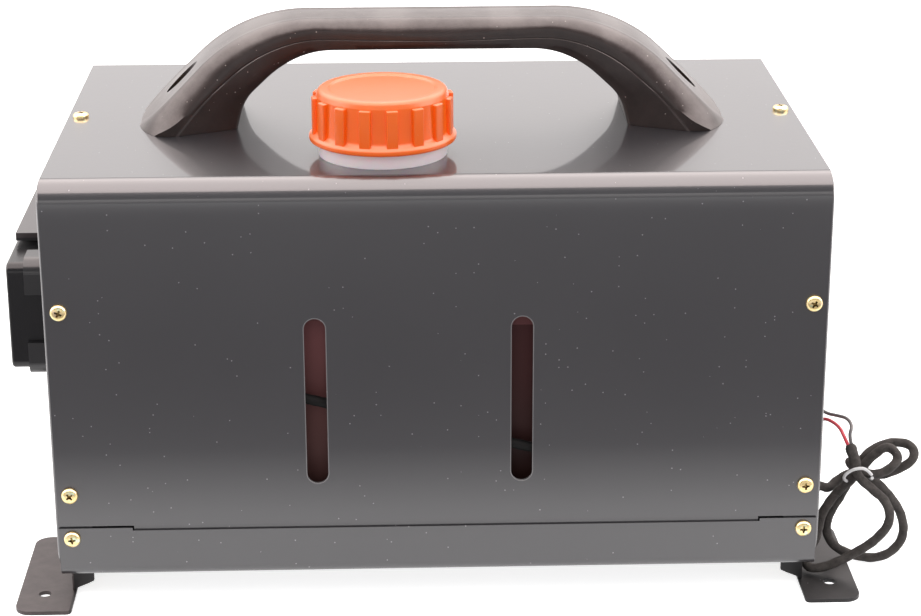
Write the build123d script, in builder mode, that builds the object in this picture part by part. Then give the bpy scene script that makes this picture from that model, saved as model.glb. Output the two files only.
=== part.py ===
from build123d import *
import os
from math import cos, pi, radians, sin, tan

# A portable diesel air heater: a small fuel-burning air heater, its fuel tank, its pump and its
# hand controller in one sheet-steel carrying case.
# Origin on the floor under the middle of the case; +X to the right seen from the front,
# +Y to the back, +Z up. All sizes in millimetres.

os.makedirs("parts", exist_ok=True)

# ---------------------------------------------------------------- driving sizes
# case
case_width = 380.0
case_depth = 244.0
case_height = 204.0
foot_height = 18.0
sheet = 1.2
cover_bend = 10.0
tray_bend = 5.0
tray_lip = 26.3
seam_gap = 1.2
cover_setback = 1.4
panel_bend = 2.0
panel_corner = 13.0
panel_corner_cut = 16.0
flange_depth = 18.0
fold_gap = 0.1
lip_step = 1.5
lip_step_length = 312.0
lip_step_shift = 4.0
lip_tuck = 5.0

# sight slots in the front of the cover
slot_width = 10.4
slot_height = 86.0
slot_pitch = 100.5
slot_shift = -9.4
slot_level = 92.0

# screws
case_screw = 4.0
case_screw_head = 8.2
case_screw_rise = 2.6
case_screw_length = 8.0
screw_clearance = 0.2
cross_length = 4.6
cross_width = 1.0
cross_depth = 1.6
case_screw_inset = 8.0
upper_screw_level = 140.0
lower_screw_level = 44.3
tray_screw_level = 20.8

# feet
foot_sheet = 2.0
foot_bend = 3.0
foot_web = 186.0
strip_width = 16.0
ear_step = 10.5
foot_flange = 20.0
foot_length = 256.0
foot_web_length = 208.0
foot_inner_corner = 3.0
ear_length = 88.0
ear_corner = 8.0
foot_hole = 6.4
foot_hole_inset = 20.0
foot_hole_step = 13.5
gusset_width = 11.0
gusset_tip = 11.0
gusset_root = 15.0
gusset_nose = 3.0
foot_screw = 5.0
foot_screw_head = 9.5
foot_screw_rise = 3.0
foot_screw_length = 9.0
foot_screw_spacing = 180.0
foot_screw_reach = 174.0

# carrying handle
handle_length = 299.0
handle_rise = 54.0
handle_gap = 38.3
handle_grip = 39.0
handle_flare = 91.0
handle_leg = 50.0
handle_round = 9.0
handle_shoulder_bend = 82.0
handle_foot_bend = 22.0
handle_arch_bend = 50.0
handle_knee_rise = 15.0
handle_knee_inset = 4.0
handle_arch_inset = 30.0
grip_straight = 62.0
grip_swell_reach = 100.0
grip_swell = 8.0
flare_inset = 9.0
grip_bend = 60.0
swell_bend = 90.0
flare_bend = 13.0
nose_bend = 16.0
handle_screw = 6.0
handle_screw_reach = 129.0
handle_pocket = 16.0
handle_pocket_floor = 7.0
handle_bolt_tail = 10.0
handle_washer = 9.0
washer_thickness = 1.6
nut_height = 5.0
thread_play = 0.1

# fuel tank, neck and cap
tank_end_gap = 38.8
pump_bay = 58.8
tank_depth = 80.0
tank_height = 182.0
tank_back = -30.0
tank_wall = 3.0
tank_round = 13.0
neck_x = -25.5
neck_y = -72.0
neck_radius = 31.5
neck_bore = 26.0
neck_flange = 35.5
neck_flange_thickness = 3.0
cap_lift_off = 7.0
cap_height = 26.0
cap_bead = 36.3
cap_bead_height = 5.5
cap_skirt = 33.2
cap_rib_reach = 34.6
cap_rib_width = 5.6
cap_ribs = 16
cap_rib_top = 4.0
cap_edge_round = 3.5
cap_crown = 4.0
cap_dish = 26.0
cap_dish_depth = 0.8
cap_disc = 31.8
cap_rib_turn = 5.0
fit_play = 0.1
tank_outlet_inset = 18.0
dip_tube_radius = 3.0
thread_clearance = 0.4
liner_thickness = 1.6
liner_gap = 0.1
neck_hole_clearance = 1.5

# divider and straps
divider_height = 181.0
divider_left = -168.0
divider_width = 318.0
divider_foot = 12.0
strap_width = 20.0
strap_sheet = 1.0
strap_spacing = 200.0

# heater core
heater_y = 42.0
heater_length = 300.0
heater_width = 112.0
heater_height = 118.0
heater_round = 26.0
heater_wall = 2.4
gasket_thickness = 3.0
inlet_radius = 44.0
outlet_radius = 30.0
outlet_wall = 2.0
outlet_reach = 20.0
outlet_clearance = 0.5
spigot_step = 0.4
spigot_clear = 1.5
exchanger_left = -34.0
exchanger_length = 150.0
exchanger_core = 36.0
exchanger_bore = 32.0
fin_reach = 50.0
fin_count = 24
fin_thickness = 2.0
foot_block = 56.0
block_gap = 0.3
block_wall = 3.0
block_right = 20.0
exhaust_x = -6.0
exhaust_radius = 12.0
intake_x = -48.0
intake_radius = 12.5
stub_wall = 1.5
stub_spigot = 12.0
stub_floor_gap = 2.0
stub_clearance = 1.0
burner_radius = 22.0
burner_length = 80.0
glow_radius = 4.0
housing_left = -62.0
housing_radius = 50.0
housing_cavity = 33.0
motor_radius = 26.0
motor_length = 50.0
shaft_radius = 2.5
bearing_gap = 0.05
fan_radius = 42.0
fan_width = 22.0
fan_blades = 11
air_fan_radius = 30.0
air_fan_width = 10.0
air_fan_blades = 16
air_fan_gap = 2.0
air_fan_hub = 10.0
fan_hub = 14.0
fan_to_motor = 6.0
housing_wall = 4.0
burner_wall = 1.5
burner_air_hole = 6.0
burner_rings = 4
burner_hole = 1.6
glow_x = 4.0
fin_setback = 18.0
exchanger_end = 4.0
stub_socket = 7.0
unit_length = 46.0
unit_width = 54.0
unit_height = 14.0
guard_bar = 3.0
guard_thickness = 2.4
gasket_margin = 8.0
heater_bolt_grip = 12.0
fuel_pipe_x = -24.0
heater_bolt = 6.0
heater_bolt_span_x = 60.0
heater_bolt_span_y = 40.0

# grille in the left end panel
intake_slot_pitch = 9.0
intake_slot_width = 5.0
intake_slots = 9

# fuel pump, filter and hoses
pump_from_panel = 28.8
pump_y = -70.0
pump_low = 72.0
pump_length = 62.0
pump_radius = 14.0
pump_bore = 6.0
plunger_length = 26.0
plunger_gap = 0.05
spring_radius = 5.4
spring_wire = 1.0
barb_radius = 2.0
barb_length = 10.0
fitting_radius = 8.5
fitting_length = 11.0
hose_radius = 3.5
hose_gap = 0.1
hose_bend = 12.0
heater_hose_bend = 16.0
butt_gap = 0.3
chamber_low = 3.0
filter_from_panel = 30.8
filter_y = -100.0
filter_low = 76.0
filter_length = 42.0
filter_radius = 11.0
fuel_way = 1.2
clamp_height = 14.0
clamp_band = 2.0
pump_hose_level = 38.0
heater_hose_level = 186.0

# hand controller and its holder
controller_length = 105.0
controller_height = 55.0
controller_thickness = 18.0
controller_front = -92.0
controller_level = 127.0
controller_round = 4.5
controller_wall = 1.8
controller_split = 8.0
holder_sheet = 3.0
holder_lip = 2.5
holder_top_gap = 2.0
button_radius = 4.6
button_gap = 0.25
button_rise = 1.0
button_stroke = 0.8
button_flange = 1.4
button_flange_width = 1.2
button_span_y = 68.0
button_span_z = 22.0
button_edge = 0.5
switch_gap = 0.05
switch_size = 6.0
display_length = 40.0
display_height = 26.0
display_gap = 1.0
lens_seat = 2.0
lens_thickness = 1.2
lens_corner = 1.5
board_thickness = 1.6
board_gap = 1.0
post_rise = 1.4
post_radius = 2.5
post_span_y = 88.0
post_span_z = 40.0
controller_edge = 1.5
holder_margin = 4.0
clip_gap = 0.2
clip_reach = 9.0
clip_length = 15.0
shelf_front = -60.0
shelf_back = 16.0
shelf_thickness = 4.0
shelf_reach = 17.0

# inner harness and power lead
soft_gap = 0.3
cable_hole_y = -40.0
cable_hole_z = 145.0
grommet_lip = 2.0
harness_radius = 2.5
lead_radius = 2.2
wire_radius = 0.9
wire_spacing = 2.3
tie_radius = 0.8
grommet_radius = 7.0
lead_exit_y = -86.0
lead_exit_z = 46.0
lead_meet_x = 188.0
bend_share = 0.45
terminal_barrel = 1.6
terminal_barrel_length = 6.0
terminal_ring = 5.5
terminal_hole = 3.2
terminal_sheet = 0.8

# routes of the cords, as points on the middle line that were chosen by hand along the photographed hank
harness_route = [
    (lead_meet_x, lead_exit_y, lead_exit_z),
    (179, -86, 46),
    (171.5, -91, 46.8),
    (166, -101, 49),
    (157, -112.5, 53),
    (136, -115.3, 60),
    (95, -115.1, 70),
    (46, -115.4, 82),
    (-8, -115.1, 94.5),
    (-60, -115.4, 108),
    (-110, -115.1, 121),
    (-143, -114, 131),
    (-160, -104, 137),
    (-167, -84, 140.5),
    (-167, -66, 143),
    (-171, -49, 145),
    (-184, cable_hole_y, cable_hole_z),
    (-199, cable_hole_y, cable_hole_z),
]
lead_route = [
    (lead_meet_x, lead_exit_y, lead_exit_z),
    (196, -86, 46),
    (202, -81, 41.5),
    (208, -73, 43.5),
    (218, -71, 47.5),
    (228.5, -73, 44.5),
    (238.5, -79, 51),
    (246, -80, 57),
    (246, -74, 62.5),
    (236, -71, 63.5),
    (225, -74.5, 61),
    (218.5, -76.3, 55),
    (213.5, -78, 46.5),
    (208.5, -81.5, 38),
    (203, -82, 29),
    (201.5, -80, 19),
    (205, -79, 9.5),
    (213.5, -80, 4),
    (227, -82.5, 1.9),
    (237, -82, 5.5),
    (243, -81, 14.5),
    (240.5, -81.5, 28),
    (231.5, -82, 40.5),
    (222.5, -82, 49),
    (211, -82, 58.5),
    (211, -92, 58.5),
    (222, -92.5, 53.5),
    (229.5, -94, 57),
    (236, -91, 62.5),
    (230.5, -86.3, 68),
    (223, -87, 63),
    (217, -87, 55.5),
    (211.5, -87, 48),
    (206, -86.5, 43),
    (201.5, -87, 37),
    (197.5, -87.5, 30),
    (196, -89, 21.5),
    (194, -89, 14),
    (189, -90.5, 8),
    (189.7, -98, 4.6),
    (198.5, -100, 5.8),
    (213, -100, 13.5),
    (223, -101.5, 21),
    (231, -101.5, 31.5),
    (228.5, -100.5, 42.5),
    (220.5, -98.5, 49),
    (212.5, -97, 56),
    (212, -95.5, 63.5),
    (209, -93, 71.5),
]
tie_route = [
    (227.5, -101.5, 56.5),
    (220, -100.8, 56),
    (212.5, -101, 57.5),
    (205, -97, 55),
    (204.5, -84, 50.5),
    (205.5, -71, 50),
    (211, -66.5, 48.5),
    (219, -66.8, 42.5),
    (222, -75.5, 42),
    (221.5, -77.8, 51.5),
    (221, -82, 57),
    (222, -88.5, 50.8),
    (224.5, -95, 50.5),
    (230, -99, 52.5),
]
positive_route = [(205, -86, 78), (202, -77, 78), (199.5, -69, 76), (197, -62, 71)]
negative_route = [(210.8, -89.5, 79.8), (209.5, -82, 81.3), (205.5, -74, 79.5), (201, -66.5, 77.8), (198, -59, 78.5)]

# ---------------------------------------------------------------- places worked out from the sizes
tray_bottom = foot_height
tray_floor = tray_bottom + sheet
case_top = foot_height + case_height
panel_face = case_width / 2
panel_inside = panel_face - sheet
cover_width = case_width - 2 * cover_setback
cover_bottom = tray_bottom + tray_lip + seam_gap
front_face = -case_depth / 2
pan_depth = case_depth - 2 * (sheet + fold_gap)
pan_height = case_height - 2 * (sheet + fold_gap)
pan_middle = tray_bottom + case_height / 2
case_screw_x = panel_face - case_screw_inset
case_hole = (case_screw + screw_clearance) / 2
side_screw_spots = [
    (side * case_screw_x, tray_bottom + level)
    for side in (-1, 1)
    for level in (upper_screw_level, lower_screw_level, tray_screw_level)
]
heater_z = tray_floor + gasket_thickness + heater_height / 2
heater_left = -heater_length / 2
heater_right = heater_length / 2
foot_spread = foot_web + strip_width + ear_step
foot_hole_reach = foot_web + foot_hole_step
tank_left = tank_end_gap - panel_inside
tank_width = panel_inside - pump_bay - tank_left
pump_x = panel_inside - pump_from_panel
filter_x = panel_inside - filter_from_panel
tank_outlet_x = tank_left + tank_width - tank_outlet_inset
tank_middle = tank_back - tank_depth / 2
tank_low = tray_floor + strap_sheet
tank_top = tank_low + tank_height
block_left = intake_x - intake_radius - block_wall
block_middle = (block_left + block_right) / 2
cap_bottom = case_top + cap_lift_off
cap_top = cap_bottom + cap_height
cap_ceiling = cap_top - cap_crown
neck_top = cap_ceiling - liner_thickness - liner_gap
controller_right = -panel_face - holder_sheet
controller_left = controller_right - controller_thickness
controller_split_x = controller_left + controller_split
controller_y = controller_front + controller_length / 2
controller_z = tray_bottom + controller_level
board_back = controller_split_x - post_rise
board_front = board_back - board_thickness


def across(x):
    """Plane square to the heater's axis, at this distance along it."""
    return Plane(origin=(x, heater_y, heater_z), x_dir=(0, 1, 0), z_dir=(1, 0, 0))


# ---------------------------------------------------------------- sheet-metal case
def folded_sheet(depth, foot, crown, bend):
    """Side view of a sheet folded to a U: straight legs at the foot, two round bends at the crown."""
    inward = sheet if crown < foot else -sheet
    with BuildSketch(Plane.YZ.offset(-cover_width / 2)) as section:
        with BuildLine():
            FilletPolyline(
                (-depth / 2, foot), (-depth / 2, crown), (depth / 2, crown), (depth / 2, foot), radius=bend
            )
            Line((depth / 2, foot), (-depth / 2, foot))
        make_face()
        inner = depth / 2 - sheet
        with BuildLine():
            FilletPolyline(
                (-inner, foot),
                (-inner, crown + inward),
                (inner, crown + inward),
                (inner, foot),
                radius=bend - sheet,
            )
            Line((inner, foot), (-inner, foot))
        make_face(mode=Mode.SUBTRACT)
    return section.sketch


with BuildPart() as screw_hole_rods:
    with BuildSketch(Plane.XZ):
        with Locations(*side_screw_spots):
            Circle(case_hole)
    extrude(amount=case_depth, both=True)
    with BuildSketch(Plane.XY.offset(case_top - 3 * sheet)):
        with Locations((-case_screw_x, 0), (case_screw_x, 0)):
            Circle(case_hole)
    extrude(amount=6 * sheet)

with BuildPart() as cover:
    extrude(folded_sheet(case_depth, cover_bottom, case_top, cover_bend), amount=cover_width)
    add(screw_hole_rods.part, mode=Mode.SUBTRACT)
    with BuildSketch(Plane.XZ.offset(case_depth / 2 + sheet)):
        with Locations((slot_shift, tray_bottom + slot_level)):
            with GridLocations(slot_pitch, 1, 2, 1):
                SlotOverall(slot_height, slot_width, rotation=90)
    extrude(amount=-3 * sheet, mode=Mode.SUBTRACT)
    with BuildSketch(Plane.XY.offset(case_top - 3 * sheet)):
        with Locations((neck_x, neck_y)):
            Circle(neck_radius + neck_hole_clearance)
        with Locations((-handle_screw_reach, 0), (handle_screw_reach, 0)):
            Circle((handle_screw + screw_clearance) / 2)
    extrude(amount=6 * sheet, mode=Mode.SUBTRACT)
cover.part.label = "cover"
export_step(cover.part, "parts/cover.step")

with BuildPart() as base_tray:
    extrude(folded_sheet(case_depth, tray_bottom + tray_lip, tray_bottom, tray_bend), amount=cover_width)
    add(screw_hole_rods.part, mode=Mode.SUBTRACT)
    with BuildSketch(Plane.XZ):
        with Locations((lip_step_shift, tray_bottom + tray_lip)):
            Rectangle(lip_step_length, 2 * lip_step)
    extrude(amount=case_depth, both=True, mode=Mode.SUBTRACT)
    for side in (-1, 1):
        with Locations((lip_step_shift, side * (case_depth / 2 - 1.5 * sheet), tray_bottom + tray_lip)):
            Box(lip_step_length - sheet, sheet, 2 * lip_tuck)
    with BuildSketch(Plane.XY.offset(tray_bottom - sheet)):
        with Locations((exhaust_x, heater_y)):
            Circle(exhaust_radius + stub_clearance)
        with Locations((intake_x, heater_y)):
            Circle(intake_radius + stub_clearance)
        with Locations((block_middle, heater_y)):
            with GridLocations(heater_bolt_span_x, heater_bolt_span_y, 2, 2):
                Circle((heater_bolt + screw_clearance) / 2)
        with GridLocations(2 * foot_screw_reach, foot_screw_spacing, 2, 2):
            Circle((foot_screw + screw_clearance) / 2)
    extrude(amount=3 * sheet, mode=Mode.SUBTRACT)
base_tray.part.label = "base_tray"
export_step(base_tray.part, "parts/base_tray.step")


def end_pan(side):
    """Pressed end panel on one side: a plate with a flange folded in along each of its edges."""
    outside = Plane(origin=(side * panel_face, 0, pan_middle), x_dir=(0, 1, 0), z_dir=(side, 0, 0))
    with BuildPart() as pan:
        with BuildSketch(outside):
            RectangleRounded(pan_depth, pan_height, panel_corner)
        extrude(amount=-flange_depth)
        outer_face = pan.faces().filter_by(Axis.X).sort_by(Axis.X)[-1 if side > 0 else 0]
        fillet(outer_face.edges(), panel_bend)
        with BuildSketch(outside.offset(-sheet)):
            RectangleRounded(pan_depth - 2 * sheet, pan_height - 2 * sheet, panel_corner - sheet)
        extrude(amount=-flange_depth, mode=Mode.SUBTRACT)
        with BuildSketch(outside.offset(-panel_bend)):
            with GridLocations(pan_depth, pan_height, 2, 2):
                Rectangle(2 * panel_corner_cut, 2 * panel_corner_cut)
        extrude(amount=-flange_depth, mode=Mode.SUBTRACT)
        add(screw_hole_rods.part, mode=Mode.SUBTRACT)
        with BuildSketch(Plane.XY.offset(tray_bottom)):
            with GridLocations(2 * foot_screw_reach, foot_screw_spacing, 2, 2):
                Circle((foot_screw + screw_clearance) / 2)
        extrude(amount=4 * sheet, mode=Mode.SUBTRACT)
    return pan.part


with BuildPart() as left_end_panel:
    add(end_pan(-1))
    with BuildSketch(Plane(origin=(-panel_face, heater_y, heater_z), x_dir=(0, 1, 0), z_dir=(1, 0, 0))):
        for slot in range(intake_slots):
            offset_y = (slot - (intake_slots - 1) / 2) * intake_slot_pitch
            chord = 2 * (inlet_radius ** 2 - offset_y ** 2) ** 0.5
            with Locations((offset_y, 0)):
                SlotOverall(chord, intake_slot_width, rotation=90)
        with Locations((cable_hole_y - heater_y, cable_hole_z - heater_z)):
            Circle(harness_radius + soft_gap)
    extrude(amount=2 * sheet, both=True, mode=Mode.SUBTRACT)
left_end_panel.part.label = "left_end_panel"
export_step(left_end_panel.part, "parts/left_end_panel.step")

with BuildPart() as right_end_panel:
    add(end_pan(1))
    with BuildSketch(Plane(origin=(panel_face, 0, 0), x_dir=(0, 1, 0), z_dir=(1, 0, 0))):
        with Locations((heater_y, heater_z)):
            Circle(outlet_radius + outlet_clearance)
        with Locations((lead_exit_y, lead_exit_z)):
            Circle(grommet_radius - grommet_lip)
        with Locations((pump_y, pump_low + pump_length / 2)):
            Circle(case_hole)
    extrude(amount=2 * sheet, both=True, mode=Mode.SUBTRACT)
right_end_panel.part.label = "right_end_panel"
export_step(right_end_panel.part, "parts/right_end_panel.step")


def pan_screw(size, head, rise, length):
    """Cross-recess pan-head screw on the origin: its head above the XY plane, its shank below."""
    with BuildPart() as screw:
        with BuildSketch(Plane.XY):
            Circle(head / 2)
        extrude(amount=rise)
        fillet(screw.faces().sort_by(Axis.Z)[-1].edges(), rise * 0.6)
        with BuildSketch(Plane.XY):
            Circle(size / 2)
        extrude(amount=-length)
        chamfer(screw.faces().sort_by(Axis.Z)[0].edges(), size / 10)
        with BuildSketch(Plane.XY.offset(rise)):
            Rectangle(cross_length * head / case_screw_head, cross_width)
            Rectangle(cross_width, cross_length * head / case_screw_head)
        extrude(amount=-cross_depth, mode=Mode.SUBTRACT)
    return screw.part


with BuildPart() as case_screws:
    one_screw = pan_screw(case_screw, case_screw_head, case_screw_rise, case_screw_length)
    for x, z in side_screw_spots:
        with Locations(Plane((x, front_face, z), x_dir=(1, 0, 0), z_dir=(0, -1, 0))):
            add(one_screw)
        with Locations(Plane((x, -front_face, z), x_dir=(-1, 0, 0), z_dir=(0, 1, 0))):
            add(one_screw)
    with Locations((-case_screw_x, 0, case_top), (case_screw_x, 0, case_top)):
        add(one_screw)
    with Locations(Plane((panel_face, pump_y, pump_low + pump_length / 2), z_dir=(1, 0, 0))):
        add(one_screw)
case_screws.part.label = "case_screws"
export_step(case_screws.part, "parts/case_screws.step")

# ---------------------------------------------------------------- feet
with BuildPart() as right_foot:
    foot_top = foot_height
    with BuildSketch(Plane.XZ.offset(foot_length / 2)):
        with BuildLine():
            Polyline(
                (foot_web - foot_flange, foot_top),
                (foot_web, foot_top),
                (foot_web, foot_sheet),
                (foot_spread, foot_sheet),
                (foot_spread, 0),
                (foot_web - foot_sheet, 0),
                (foot_web - foot_sheet, foot_top - foot_sheet),
                (foot_web - foot_flange, foot_top - foot_sheet),
                close=True,
            )
        face = make_face()
        fillet(face.vertices().sort_by(Axis.X).filter_by_position(
            Axis.X, foot_web - foot_sheet, foot_web - foot_sheet), foot_bend / 3)
    extrude(amount=-foot_length)
    with BuildSketch(Plane.XY):
        with Locations((foot_spread, 0)):
            Rectangle(2 * (foot_spread - foot_web - strip_width), foot_length - 2 * ear_length)
    extrude(amount=foot_sheet, mode=Mode.SUBTRACT)
    outer_corners = edges().filter_by(Axis.Z).filter_by_position(Axis.X, foot_spread - 1, foot_spread + 1)
    fillet(outer_corners, ear_corner)
    with BuildSketch(Plane.XY.offset(foot_sheet)):
        Rectangle(3 * foot_spread, 2 * foot_length)
        Rectangle(3 * foot_spread, foot_web_length, mode=Mode.SUBTRACT)
    extrude(amount=foot_height, mode=Mode.SUBTRACT)
    with BuildSketch(Plane.XY):
        with Locations((foot_web - foot_sheet, -foot_length / 2), (foot_web - foot_sheet, foot_length / 2)):
            Rectangle(2 * foot_inner_corner, 2 * foot_inner_corner)
        with GridLocations(2 * (foot_web - foot_sheet + foot_inner_corner), foot_length - 2 * foot_inner_corner, 2, 2):
            Circle(foot_inner_corner, mode=Mode.SUBTRACT)
    extrude(amount=foot_sheet, mode=Mode.SUBTRACT)
    with BuildSketch(Plane.XY):
        with GridLocations(2 * foot_hole_reach, foot_length - 2 * foot_hole_inset, 2, 2):
            Circle(foot_hole / 2)
    extrude(amount=foot_sheet, mode=Mode.SUBTRACT)
    with BuildSketch(Plane.XY):
        with GridLocations(2 * foot_screw_reach, foot_screw_spacing, 2, 2):
            Circle((foot_screw + screw_clearance) / 2)
    extrude(amount=foot_top, mode=Mode.SUBTRACT)
    with BuildSketch(Plane.XZ.offset(foot_web_length / 2)):
        with BuildLine():
            Polyline(
                (foot_web - foot_sheet, foot_top - foot_sheet),
                (foot_web - gusset_width, foot_top - foot_sheet),
                (foot_web - gusset_width, foot_top - gusset_tip),
                (foot_web - gusset_width + gusset_nose, foot_top - gusset_tip - gusset_nose / 2),
                (foot_web - foot_sheet, foot_top - gusset_root),
                close=True,
            )
        make_face()
    extrude(amount=-foot_sheet)
right_foot.part.label = "right_foot"
export_step(right_foot.part, "parts/right_foot.step")

with BuildPart() as left_foot:
    mirror(right_foot.part, about=Plane.YZ)
left_foot.part.label = "left_foot"
export_step(left_foot.part, "parts/left_foot.step")

with BuildPart() as foot_screws:
    low_screw = pan_screw(foot_screw, foot_screw_head, foot_screw_rise, foot_screw_length)
    with GridLocations(2 * foot_screw_reach, foot_screw_spacing, 2, 2):
        with Locations(Plane((0, 0, foot_height - foot_sheet), z_dir=(0, 0, -1))):
            add(low_screw)
foot_screws.part.label = "foot_screws"
export_step(foot_screws.part, "parts/foot_screws.step")

# ---------------------------------------------------------------- carrying handle
with BuildPart() as handle:
    with BuildSketch(Plane.XZ.offset(handle_flare / 2)):
        half = handle_length / 2
        corner_x = half - handle_rise
        with BuildLine():
            FilletPolyline(
                (-half - 1, case_top),
                (-corner_x, case_top + handle_rise),
                (corner_x, case_top + handle_rise),
                (half + 1, case_top),
                radius=handle_shoulder_bend,
            )
            Line((half + 1, case_top), (-half - 1, case_top))
        make_face()
        inner = half - handle_leg
        with BuildLine():
            FilletPolyline(
                (-inner, case_top),
                (-inner + handle_knee_inset, case_top + handle_knee_rise),
                (-inner + handle_arch_inset, case_top + handle_gap),
                (inner - handle_arch_inset, case_top + handle_gap),
                (inner - handle_knee_inset, case_top + handle_knee_rise),
                (inner, case_top),
                radius=(handle_foot_bend, handle_arch_bend, handle_arch_bend, handle_foot_bend),
            )
            Line((inner, case_top), (-inner, case_top))
        make_face(mode=Mode.SUBTRACT)
    extrude(amount=-handle_flare)
    with BuildSketch(Plane.XY.offset(case_top)):
        grip = handle_grip / 2
        flare = handle_flare / 2
        with BuildLine():
            half_plan = FilletPolyline(
                (0, -grip),
                (grip_straight, -grip),
                (grip_swell_reach, -grip - grip_swell),
                (half - flare_inset, -flare),
                (half + 0.5, -grip - 1),
                (half + 0.5, 0),
                radius=(grip_bend, swell_bend, flare_bend, nose_bend),
            )
            mirror(half_plan, about=Plane.XZ)
            mirror(half_plan, about=Plane.YZ)
            mirror(mirror(half_plan, about=Plane.XZ, mode=Mode.PRIVATE), about=Plane.YZ)
        make_face()
    extrude(amount=handle_rise, mode=Mode.INTERSECT)
    under = case_top + handle_gap + 1
    rising = handle.edges().filter_by(lambda e: e.center().Z > case_top + 0.5 and abs(e.center().Y) > 1)
    outer = rising.filter_by(lambda e: abs(e.center().X) > inner + 1 or e.center().Z > under)
    fillet(outer, handle_round)
    with BuildSketch(Plane.XY.offset(case_top + handle_pocket_floor)):
        with GridLocations(2 * handle_screw_reach, 1, 2, 1):
            Circle(handle_pocket / 2)
    extrude(amount=handle_rise, mode=Mode.SUBTRACT)
    with BuildSketch(Plane.XY.offset(case_top)):
        with GridLocations(2 * handle_screw_reach, 1, 2, 1):
            Circle((handle_screw + screw_clearance) / 2)
    extrude(amount=handle_rise, mode=Mode.SUBTRACT)
handle.part.label = "handle"
export_step(handle.part, "parts/handle.step")

with BuildPart() as handle_bolts:
    with BuildSketch(Plane.XY.offset(case_top + handle_pocket_floor)):
        with GridLocations(2 * handle_screw_reach, 1, 2, 1):
            Circle(handle_screw * 0.85)
    extrude(amount=handle_screw)
    with BuildSketch(Plane.XY.offset(case_top + handle_pocket_floor + handle_screw)):
        with GridLocations(2 * handle_screw_reach, 1, 2, 1):
            RegularPolygon(handle_screw * 0.42, 6, major_radius=False)
    extrude(amount=-handle_screw / 2, mode=Mode.SUBTRACT)
    with BuildSketch(Plane.XY.offset(case_top + handle_pocket_floor)):
        with GridLocations(2 * handle_screw_reach, 1, 2, 1):
            Circle(handle_screw / 2)
    extrude(amount=-handle_pocket_floor - handle_bolt_tail)
    with BuildSketch(Plane.XY.offset(case_top - sheet)):
        with GridLocations(2 * handle_screw_reach, 1, 2, 1):
            Circle(handle_washer)
            Circle((handle_screw + thread_play) / 2, mode=Mode.SUBTRACT)
    extrude(amount=-washer_thickness)
    with BuildSketch(Plane.XY.offset(case_top - sheet - washer_thickness)):
        with GridLocations(2 * handle_screw_reach, 1, 2, 1):
            RegularPolygon(handle_screw * 0.83, 6, major_radius=False)
            Circle((handle_screw + thread_play) / 2, mode=Mode.SUBTRACT)
    extrude(amount=-nut_height)
handle_bolts.part.label = "handle_bolts"
export_step(handle_bolts.part, "parts/handle_bolts.step")


# ---------------------------------------------------------------- fuel tank, neck and cap
def rounded_block(length, depth, height, radius):
    """Block centred on the origin with every edge rounded to one radius."""
    with BuildPart() as block:
        Box(length, depth, height)
        fillet(block.edges(), radius)
    return block.part


with BuildPart() as fuel_tank:
    with Locations((tank_left + tank_width / 2, tank_middle, tank_low + tank_height / 2)):
        add(rounded_block(tank_width, tank_depth, tank_height, tank_round))
        add(
            rounded_block(
                tank_width - 2 * tank_wall,
                tank_depth - 2 * tank_wall,
                tank_height - 2 * tank_wall,
                tank_round - tank_wall,
            ),
            mode=Mode.SUBTRACT,
        )
    with BuildSketch(Plane.XY.offset(tank_top)):
        with Locations((neck_x, neck_y)):
            Circle(neck_bore)
        with Locations((tank_outlet_x, tank_middle)):
            Circle(dip_tube_radius + fit_play)
    extrude(amount=-2 * tank_wall, mode=Mode.SUBTRACT)
fuel_tank.part.label = "fuel_tank"
export_step(fuel_tank.part, "parts/fuel_tank.step")

with BuildPart() as filler_neck:
    with BuildSketch(Plane.XY.offset(tank_top)):
        with Locations((neck_x, neck_y)):
            Circle(neck_flange)
    extrude(amount=neck_flange_thickness)
    with BuildSketch(Plane.XY.offset(tank_top)):
        with Locations((neck_x, neck_y)):
            Circle(neck_radius)
    extrude(amount=neck_top - tank_top)
    with BuildSketch(Plane.XY.offset(tank_top)):
        with Locations((neck_x, neck_y)):
            Circle(neck_bore)
    extrude(amount=neck_top - tank_top, mode=Mode.SUBTRACT)
filler_neck.part.label = "filler_neck"
export_step(filler_neck.part, "parts/filler_neck.step")

with BuildPart() as filler_cap:
    with BuildSketch(Plane(origin=(neck_x, neck_y, cap_bottom), x_dir=(1, 0, 0), z_dir=(0, -1, 0))):
        shoulder = cap_height - cap_edge_round
        with BuildLine():
            Polyline(
                (neck_radius + thread_clearance, 0),
                (cap_bead, 0),
                (cap_bead, cap_bead_height / 2),
                (cap_skirt + 0.6, cap_bead_height),
                (cap_skirt, cap_bead_height),
                (cap_skirt, shoulder - 1),
                (cap_disc, shoulder),
            )
            RadiusArc((cap_disc, shoulder), (cap_disc - cap_edge_round, cap_height), -cap_edge_round)
            Polyline(
                (cap_disc - cap_edge_round, cap_height),
                (cap_dish, cap_height),
                (cap_dish, cap_height - cap_dish_depth),
                (0, cap_height - cap_dish_depth),
                (0, cap_height - cap_crown),
                (neck_radius + thread_clearance, cap_height - cap_crown),
                (neck_radius + thread_clearance, 0),
            )
        make_face()
    revolve(axis=Axis((neck_x, neck_y, 0), (0, 0, 1)))
    with BuildSketch(Plane((neck_x, neck_y, cap_bottom + cap_bead_height / 2))):
        with PolarLocations(cap_rib_reach - 1.5, cap_ribs, start_angle=cap_rib_turn):
            Rectangle(3, cap_rib_width)
    extrude(amount=cap_height - cap_rib_top - cap_bead_height / 2)
filler_cap.part.label = "filler_cap"
export_step(filler_cap.part, "parts/filler_cap.step")

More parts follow.
